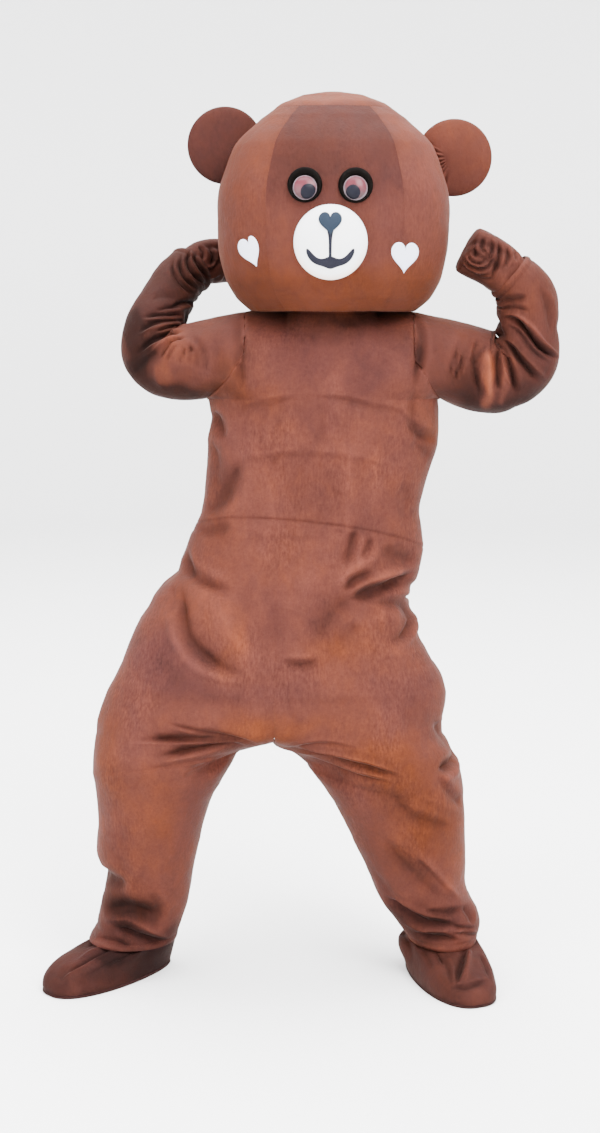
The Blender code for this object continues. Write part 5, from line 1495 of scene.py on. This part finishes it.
def velour(name, cool, middle, warm, depth, silk, brush):
    """Short-pile velour: its colour turns with the nap and with painted light and shade; creases get
    painted shade and their ridges a painted highlight; brush roughens it.
    """
    look = Look(name)
    tone, warmth, crease = (look.attribute(each) for each in ("tone", "warmth", "crease"))
    broad = look.noise(7.0)
    mottle = look.noise(38.0, 3.0, 0.55, stretch=(1.0, 1.0, 0.7), distortion=0.5)
    crush = look.noise(17.0, 3.0, 0.62, stretch=(1.0, 1.0, 0.55), distortion=1.6)
    streak = look.noise(1.0, 2.0, 0.55, stretch=(230.0, 230.0, 75.0))
    speckle = look.noise(130.0, 4.0, 0.7)
    pile = look.noise(330.0, 3.0, 0.65)
    brushed = ((look.noise(8.0, stretch=(1.0, 1.0, 0.6)) - 0.44) * 6.0).limited()
    warm_share = (1.0 + warmth * 0.85 + (broad - 0.5) * 1.1 + (mottle - 0.5) * 0.8).limited(0.0, 2.0)
    base = look.blend(look.blend(colour(cool), colour(middle), warm_share.limited()), colour(warm),
                      (warm_share - 1.0).limited())
    marks = ((crush - 0.56) * 6.0).limited() * 0.13 + ((0.42 - crush) * 6.0).limited() * -0.10
    rough = ((mottle - 0.5) * 0.48 + (streak - 0.5) * (0.20 + brushed) + (speckle - 0.5) * 0.62
             + (pile - 0.5) * 0.40)
    # tone carries the nap with painted light and shade; marks and rough are the pile's own texture
    shade = (1.0 + tone * 0.80) * (1.0 - marks) * (1.0 + rough * brush)
    # painted shade in the troughs of creases and a painted highlight on their ridges
    shade = shade * (1.0 - crease.limited() * 0.48 * depth - crease.limited(-1, 0) * 0.60 * depth)
    relief = (pile - 0.5) * 0.4 + (speckle - 0.5) * 0.5 + (mottle - 0.5) * 0.9 + (streak - 0.5) * 0.6
    look.bump(relief, 0.0012, 0.8)
    look.finish(Base_Color=look.tinted(base, shade.limited(0.10, 2.4)),
                Roughness=(0.74 + (mottle - 0.5) * 0.3 - tone * 0.10).limited(0.45, 0.95),
                Sheen_Weight=0.03, Sheen_Roughness=0.30, Sheen_Tint=(1.0, 0.55, 0.42, 1.0), IOR=1.4,
                Specular_IOR_Level=0.09 * silk)
    return look.material


def felt(name, tone, other, rim=None, sheen=0.2):
    """Felt or short white plush; rim colours the lower edge of a round piece."""
    look = Look(name)
    fibre = look.noise(700.0, 3.0, 0.65)
    broad = look.noise(30.0, 3.0)
    share = (0.5 + (broad - 0.5) * 1.4 + (fibre - 0.5) * 0.35).limited()
    base = look.blend(colour(tone), colour(other), share)
    if rim:
        edge = ((look.attribute("share") - 0.80) * 5.0).limited() * ((0.14 - look.height()) * 14.0).limited()
        base = look.blend(base, colour(rim), edge)
    look.bump(fibre, 0.0005, 0.5)
    look.finish(Base_Color=base, Roughness=(0.85 + (broad - 0.5) * 0.1).limited(), Sheen_Weight=sheen,
                Sheen_Roughness=0.5, Specular_IOR_Level=sheen)
    return look.material


def gloss(name, tone, roughness, shine):
    """Moulded plastic of the eyes."""
    look = Look(name)
    haze = look.noise(60.0)
    look.finish(Base_Color=look.tinted(tone, 0.92 + haze * 0.16),
                Roughness=(roughness + (haze - 0.5) * 0.08).limited(0.03), Specular_IOR_Level=shine)
    return look.material


def iris_look(name, tone, ring):
    """Plastic of the iris: rosy above, greyer below, with a pale ring at its edge."""
    look = Look(name)
    cloudy = look.noise(70.0, 3.0, 0.6, distortion=0.6)
    low = ((0.222 - look.height()) * 40.0 + (cloudy - 0.5) * 1.4).limited()
    base = look.blend(colour(tone), colour([0.30 * sum(tone)] * 3), low * 0.75)
    edge = ((look.attribute("share") - 0.86) * 9.0 + (cloudy - 0.5)).limited()
    look.finish(Base_Color=look.blend(base, colour(ring), edge),
                Roughness=(0.20 + (cloudy - 0.5) * 0.10).limited(0.05), Specular_IOR_Level=0.13)
    return look.material


LOOKS = {}


def looks(settings):
    """Makes the costume's materials once, from the colours of the settings."""
    if LOOKS:
        return LOOKS

    def darker(tone, share):
        return [each * share for each in tone]

    plush = (settings.mauve, settings.russet, settings.orange)
    # the sleeves, mitts and feet get a darker copy of the same plush, as painted shade
    dark = [darker(tone, settings.dark_share) for tone in plush]
    # velour: its three colours, how much painted shade its creases get, how silky and how rough its pile is
    for name, tones, depth, silk, brush in (
            ("head_plush", plush, 1.0, 1.0, 0.55), ("ear_plush", plush, 1.0, 1.0, 0.6),
            ("suit_plush", plush, 1.0, 1.0, 1.0), ("sleeve_plush", dark, 1.3, 1.1, 0.6)):
        LOOKS[name] = velour(name, *tones, depth, silk, brush)
    LOOKS["white_plush"] = felt("white_plush", (0.86, 0.87, 0.88), (0.82, 0.82, 0.83), rim=(0.80, 0.62, 0.52))
    # felt and cloth: two colours that mix, and their sheen
    for name, tone, other, sheen in (
            ("heart_felt", (0.70, 0.71, 0.84), (0.64, 0.65, 0.80), 0.2),
            ("white_thread", (0.50, 0.50, 0.56), (0.44, 0.44, 0.50), 0.2),
            ("nose_felt", settings.nose, darker(settings.nose, 0.85), 0.03),
            ("mouth_felt", (0.0100, 0.0105, 0.0160), (0.0145, 0.0145, 0.0210), 0.03),
            ("sole_cloth", (0.022, 0.008, 0.007), (0.015, 0.006, 0.005), 0.03),
            ("thread", darker(settings.russet, 0.80), darker(settings.russet, 0.65), 0.03)):
        LOOKS[name] = felt(name, tone, other, sheen=sheen)
    LOOKS["eye_rim"] = gloss("eye_rim", (0.002, 0.0015, 0.0012), 0.60, 0.018)
    LOOKS["iris"] = iris_look("iris", settings.iris, (0.21, 0.165, 0.185))
    LOOKS["pupil"] = gloss("pupil", (0.006, 0.006, 0.010), 0.36, 0.07)
    return LOOKS


# ---- settings and operators ----


def length(name, description, default):
    return FloatProperty(name=name, description=description, default=default, unit="LENGTH")


def tint(name, description, default):
    return FloatVectorProperty(name=name, description=description, default=default, subtype="COLOR")


class CostumeSettings(bpy.types.PropertyGroup):
    fold_depth: FloatProperty(name="Fold depth", description="How deep the drawn folds sink", default=1.0)
    crumple_height: length("Crumple", "Height of the cloth's soft unevenness", 0.0016)
    pile_height: length("Pile", "Height of the pile's finer unevenness", 0.0005)
    stitch_spacing: length("Stitch spacing", "Distance between stitches", 0.0055)
    stitch_length: length("Stitch length", "Length of a stitch", 0.0038)
    stitch_radius: length("Thread radius", "Half thickness of the thread", 0.00042)
    seed: IntProperty(name="Seed", description="Random order of what repeats", default=7)


class CostumeColours(bpy.types.PropertyGroup):
    mauve: tint("Mauve", "Plush where the pile lies away", (0.0460, 0.0144, 0.0124))
    russet: tint("Russet", "Plush as it mostly looks", (0.0590, 0.0167, 0.0109))
    orange: tint("Orange", "Plush where the pile faces out", (0.0700, 0.0170, 0.0061))
    # painted shade: how much darker the copy of the plush on the sleeves, mitts and feet is
    dark_share: FloatProperty(name="Sleeve shade", description="How dark the sleeves, mitts and feet are",
                              default=0.92)
    nose: tint("Nose", "Felt of the nose", (0.0165, 0.0235, 0.0360))
    iris: tint("Iris", "Plastic of the iris", (0.095, 0.024, 0.032))


def costume():
    return bpy.context.scene.costume_settings


def costume_looks():
    return looks(bpy.context.scene.costume_colours)


class CostumeOperator(bpy.types.Operator):
    """Makes a part of the costume"""

    bl_idname = "costume.part"
    bl_label = "Make a part"

    def execute(self, context):
        self.make(costume(), costume_looks())
        return {"FINISHED"}

    def make(self, settings, look):
        raise NotImplementedError(self.bl_idname)


class MakeSuit(CostumeOperator):
    """Makes the suit: bodice, placket, trousers and sleeves, sewn together"""

    bl_idname = "costume.suit"
    bl_label = "Make the suit"

    def make(self, settings, look):
        panels = suit_panels(settings)
        for name, panel in panels.items():
            slot = "sleeve_plush" if name.startswith("sleeve") else "suit_plush"
            cloth_object(panel, look[slot])
        placket = placket_panel(panels["bodice_back_left"], panels["bodice_back_right"])
        cloth_object(placket, look["suit_plush"])
        lines = [seam_line(placket, edge, 0.004) for edge in ("first_column", "last_column")]
        lines += [seam_line(panel, "last_row", HEM) for name, panel in panels.items()
                  if not name.startswith("bodice")]
        stitches("suit_stitches", lines, settings, look["thread"])


class MakeMitts(CostumeOperator):
    """Makes the two mitts, curled into fists"""

    bl_idname = "costume.mitts"
    bl_label = "Make the mitts"

    def make(self, settings, look):
        for side in SIDES:
            cloth_object(mitt_panel(side, settings), look["sleeve_plush"])


class MakeFeet(CostumeOperator):
    """Makes the two foot covers with their soles"""

    bl_idname = "costume.feet"
    bl_label = "Make the foot covers"

    def make(self, settings, look):
        for side in SIDES:
            upper, plate = foot_panels(side, settings)
            cloth_object(upper, look["sleeve_plush"])
            name = f"foot_{side}_sole"
            mesh = wall_mesh(f"{name}_cloth", *solid_plate(plate), True, True)
            made = dress(mesh, look["sole_cloth"], name)
            heel, toe, *_ = foot_axes(side)


def solid_plate(rows):
    """Outer and inner grids of a plate: its rim and underside, and its flat top."""
    middle, low = rows[0].mean(axis=0), rows[-1]
    centre = middle * [1, 1, 0] + [0, 0, FLOOR_Z]
    outer = np.concatenate([rows, [low + (centre - low) * part for part in (0.2, 0.6, 0.97)]])
    parts = np.linspace(0.004, 0.97, len(outer))[:, None, None]
    return outer, rows[0] + (middle - rows[0]) * parts


class MakeHead(CostumeOperator):
    """Makes the head from its plush panels over foam"""

    bl_idname = "costume.head"
    bl_label = "Make the head"

    def make(self, settings, look):
        lines = []
        for panel in head_panels(settings):
            padded_object(panel, look["head_plush"])
            lines.append(seam_line(panel, "first_row" if panel.closed else "first_column", lift=0.0))
        stitches("head_stitches", lines, settings, look["thread"])


class MakeEars(CostumeOperator):
    """Makes the two ears, each a stuffed front and back"""

    bl_idname = "costume.ears"
    bl_label = "Make the ears"

    def make(self, settings, look):
        for side in SIDES:
            for panel in ear_panels(side, settings):
                padded_object(panel, look["ear_plush"])


class MakeFace(CostumeOperator):
    """Makes the muzzle, the nose, the mouth and the cheek hearts"""

    bl_idname = "costume.face"
    bl_label = "Make the face"

    def make(self, settings, look):
        muzzle, over = applique("muzzle", face_surface, MUZZLE_AT, circle(MUZZLE_RADIUS),
                                lambda share, away: muzzle_dome(away), look["white_plush"],
                                rings=40, columns=144, kind="pad")
        lines = [np.concatenate([over[0], over[0][:1]]) - [0, 0.0006, 0]]
        dome = raised(face_surface, MUZZLE_AT, muzzle_dome)
        nose, _ = applique("nose", dome, NOSE_AT, heart_outline(NOSE_SIZE, NOSE_WIDTH),
                           lambda share, away: 0.001 + 0.0045 * np.sqrt(np.clip(1 - share ** 2.5, 0, 1)),
                           look["nose_felt"])
        drop = np.linspace(PHILTRUM_TOP, PHILTRUM_LOW, 24)
        flare = 1 + 1.1 * np.exp(-np.linspace(0, 5, len(drop)) ** 1.5)
        line = np.column_stack([np.full(len(drop), NOSE_AT[0]), drop])
        half = PHILTRUM_HALF_WIDTH * flare
        philtrum = strip("philtrum", dome, line, half, look["mouth_felt"], 5)
        across = np.linspace(-1, 1, 97)
        line = np.column_stack([MOUTH_AT[0] + MOUTH_HALF_WIDTH * across, MOUTH_AT[1] + 0.0230 * across ** 4])
        half = 0.0060 * np.sqrt(1 - 0.98 * across ** 8) + 0.0052 * np.exp(-(across / 0.26) ** 2)
        mouth = strip("mouth", dome, line, half, look["mouth_felt"])
        for side in SIDES:
            x, z, *shape = CHEEKS[side]
            outline = heart_outline(*shape)
            heart, over = applique(f"cheek_heart_{side}", face_surface, (x, z), outline,
                                   lambda share, away: FELT * np.sqrt(np.clip(1 - share ** 8, 0, 1)) + 0.0002,
                                   look["heart_felt"], columns=HEART_COLUMNS)
            area = float((outline(round_turns(HEART_COLUMNS)) ** 2).sum() * math.pi / HEART_COLUMNS)
            wide, tall = (float(np.ptp(over[..., axis])) * 1.02 for axis in (0, 2))
            ring = over[5] - [0, 0.0002, 0]
            lines.append(np.concatenate([ring, ring[:1]]))
        stitches("face_stitches", lines, settings, look["white_thread"])


class MakeEyes(CostumeOperator):
    """Makes the plastic eyes: rim, iris and pupil"""

    bl_idname = "costume.eyes"
    bl_label = "Make the eyes"

    def make(self, settings, look):
        def rim_height(share, away):
            return 0.003 + 0.006 * np.sqrt(np.clip(1 - (2 * share - 1) ** 2, 0, 1))

        def dome(away):
            return 0.002 + 0.006 * np.clip(1 - (away / IRIS_RADIUS) ** 2, 0, 1)

        for side in SIDES:
            at, shift, radius = EYES[side], PUPIL_SHIFT[side], PUPIL_RADIUS[side]
            middle = (at[0], at[1] - IRIS_DROP)
            applique(f"eye_rim_{side}", face_surface, at, circle(EYE_RADIUS), rim_height, look["eye_rim"],
                     circle(IRIS_RADIUS, (0, -IRIS_DROP)), rings=20, kind="plastic")
            applique(f"eye_iris_{side}", face_surface, middle, circle(IRIS_RADIUS - 0.0002),
                     lambda share, away: dome(away), look["iris"], rings=18, kind="plastic")

            def outline(turns):
                free = circle(IRIS_RADIUS - 0.0012, (-shift[0], -shift[1]))(turns)
                return radius * free / (radius ** 6 + free ** 6) ** (1 / 6)

            applique(f"eye_pupil_{side}", raised(face_surface, middle, dome),
                     (middle[0] + shift[0], middle[1] + shift[1]), outline,
                     lambda share, away: 0.0004 + 0.0016 * np.sqrt(np.clip(1 - share ** 2, 0, 1)),
                     look["pupil"], rings=12, kind="plastic")


FLOOR_TONES = ((0.965, 0.965, 0.968), (0.950, 0.950, 0.954))
LIGHTS_AIM = Vector((-0.05, 0, -0.45))
LIGHTS = (
    ("key_light", (1.7, -3.0, 2.9), 2.2, 480.0),
    ("fill_light", (-2.6, -3.0, 1.0), 2.8, 160.0),
    ("ceiling_light", (0.0, 0.5, 5.5), 8.0, 3200.0),
)
# The camera: where it is, how many degrees it looks down, its sensor in millimetres, and its focal
# length as a share of that
CAMERA_AT, CAMERA_DOWN, SENSOR, LENS_SHARE = (-0.062, -3.4, 0.0), 8.51, 36.0, 1720 / 1133


class MakeStage(CostumeOperator):
    """Makes the floor, the lights and the camera"""

    bl_idname = "costume.stage"
    bl_label = "Make the stage"

    def make(self, settings, look):
        floor = Look("studio_floor")
        floor.finish(Base_Color=floor.blend(colour(FLOOR_TONES[0]), colour(FLOOR_TONES[1]), floor.noise(2.0)),
                     Roughness=0.9)
        turns = round_turns(96)
        lean = np.radians(np.linspace(0, 90, 12))
        reach = np.concatenate([[0.01, 2.0, 4.0, 6.0], 7.5 + 2.0 * np.sin(lean), [9.5]])
        rise = np.concatenate([np.zeros(4), 2.0 - 2.0 * np.cos(lean), [9.0]])
        grid = np.stack([reach[:, None] * np.cos(turns), reach[:, None] * np.sin(turns),
                         np.repeat(rise[:, None] + FLOOR_Z, len(turns), axis=1)], axis=-1)
        index = np.arange(len(reach) * len(turns)).reshape(len(reach), len(turns))
        index = np.concatenate([index, index[:, :1]], axis=1)
        mesh = bpy.data.meshes.new("studio_floor")
        mesh.from_pydata(grid.reshape(-1, 3).tolist(), [], [face[::-1] for face in quads_of(index).tolist()]
                         + [index[0, :-1].tolist()])
        mesh.shade_smooth()
        mesh.materials.append(floor.material)
        link("studio_floor", mesh)
        for name, place, size, power in LIGHTS:
            lamp = bpy.data.lights.new(name, "AREA")
            lamp.energy, lamp.size = power, size
            made = link(name, lamp)
            made.location = place
            made.rotation_euler = (LIGHTS_AIM - Vector(place)).to_track_quat("-Z", "Y").to_euler()
        lens = bpy.data.cameras.new("camera")
        lens.sensor_fit, lens.sensor_height, lens.lens = "VERTICAL", SENSOR, SENSOR * LENS_SHARE
        camera = link("camera", lens)
        camera.location = CAMERA_AT
        camera.rotation_euler = (math.radians(90 - CAMERA_DOWN), 0, 0)
        bpy.context.scene.camera = camera


OPERATORS = (MakeSuit, MakeMitts, MakeFeet, MakeHead, MakeEars, MakeFace, MakeEyes, MakeStage)


class CostumePanel(bpy.types.Panel):
    """Buttons that make the costume's parts"""

    bl_idname = "VIEW3D_PT_costume"
    bl_label = "Bear costume"
    bl_space_type = "VIEW_3D"
    bl_region_type = "UI"
    bl_category = "Costume"

    def draw(self, context):
        for group in (context.scene.costume_settings, context.scene.costume_colours):
            for name in group.bl_rna.properties.keys():
                if name not in ("rna_type", "name"):
                    self.layout.prop(group, name)
        for operator in OPERATORS:
            self.layout.operator(operator.bl_idname)


CLASSES = (CostumeSettings, CostumeColours, *OPERATORS, CostumePanel)


def register():
    for each in CLASSES:
        bpy.utils.register_class(each)
    bpy.types.Scene.costume_settings = PointerProperty(type=CostumeSettings)
    bpy.types.Scene.costume_colours = PointerProperty(type=CostumeColours)


def unregister():
    del bpy.types.Scene.costume_settings
    del bpy.types.Scene.costume_colours
    for each in reversed(CLASSES):
        bpy.utils.unregister_class(each)


def main():
    register()
    bpy.ops.costume.stage()
    bpy.ops.costume.head()
    bpy.ops.costume.ears()
    bpy.ops.costume.face()
    bpy.ops.costume.eyes()
    bpy.ops.costume.suit()
    bpy.ops.costume.mitts()
    bpy.ops.costume.feet()
    bpy.context.view_layer.update()


if __name__ == "__main__":
    main()
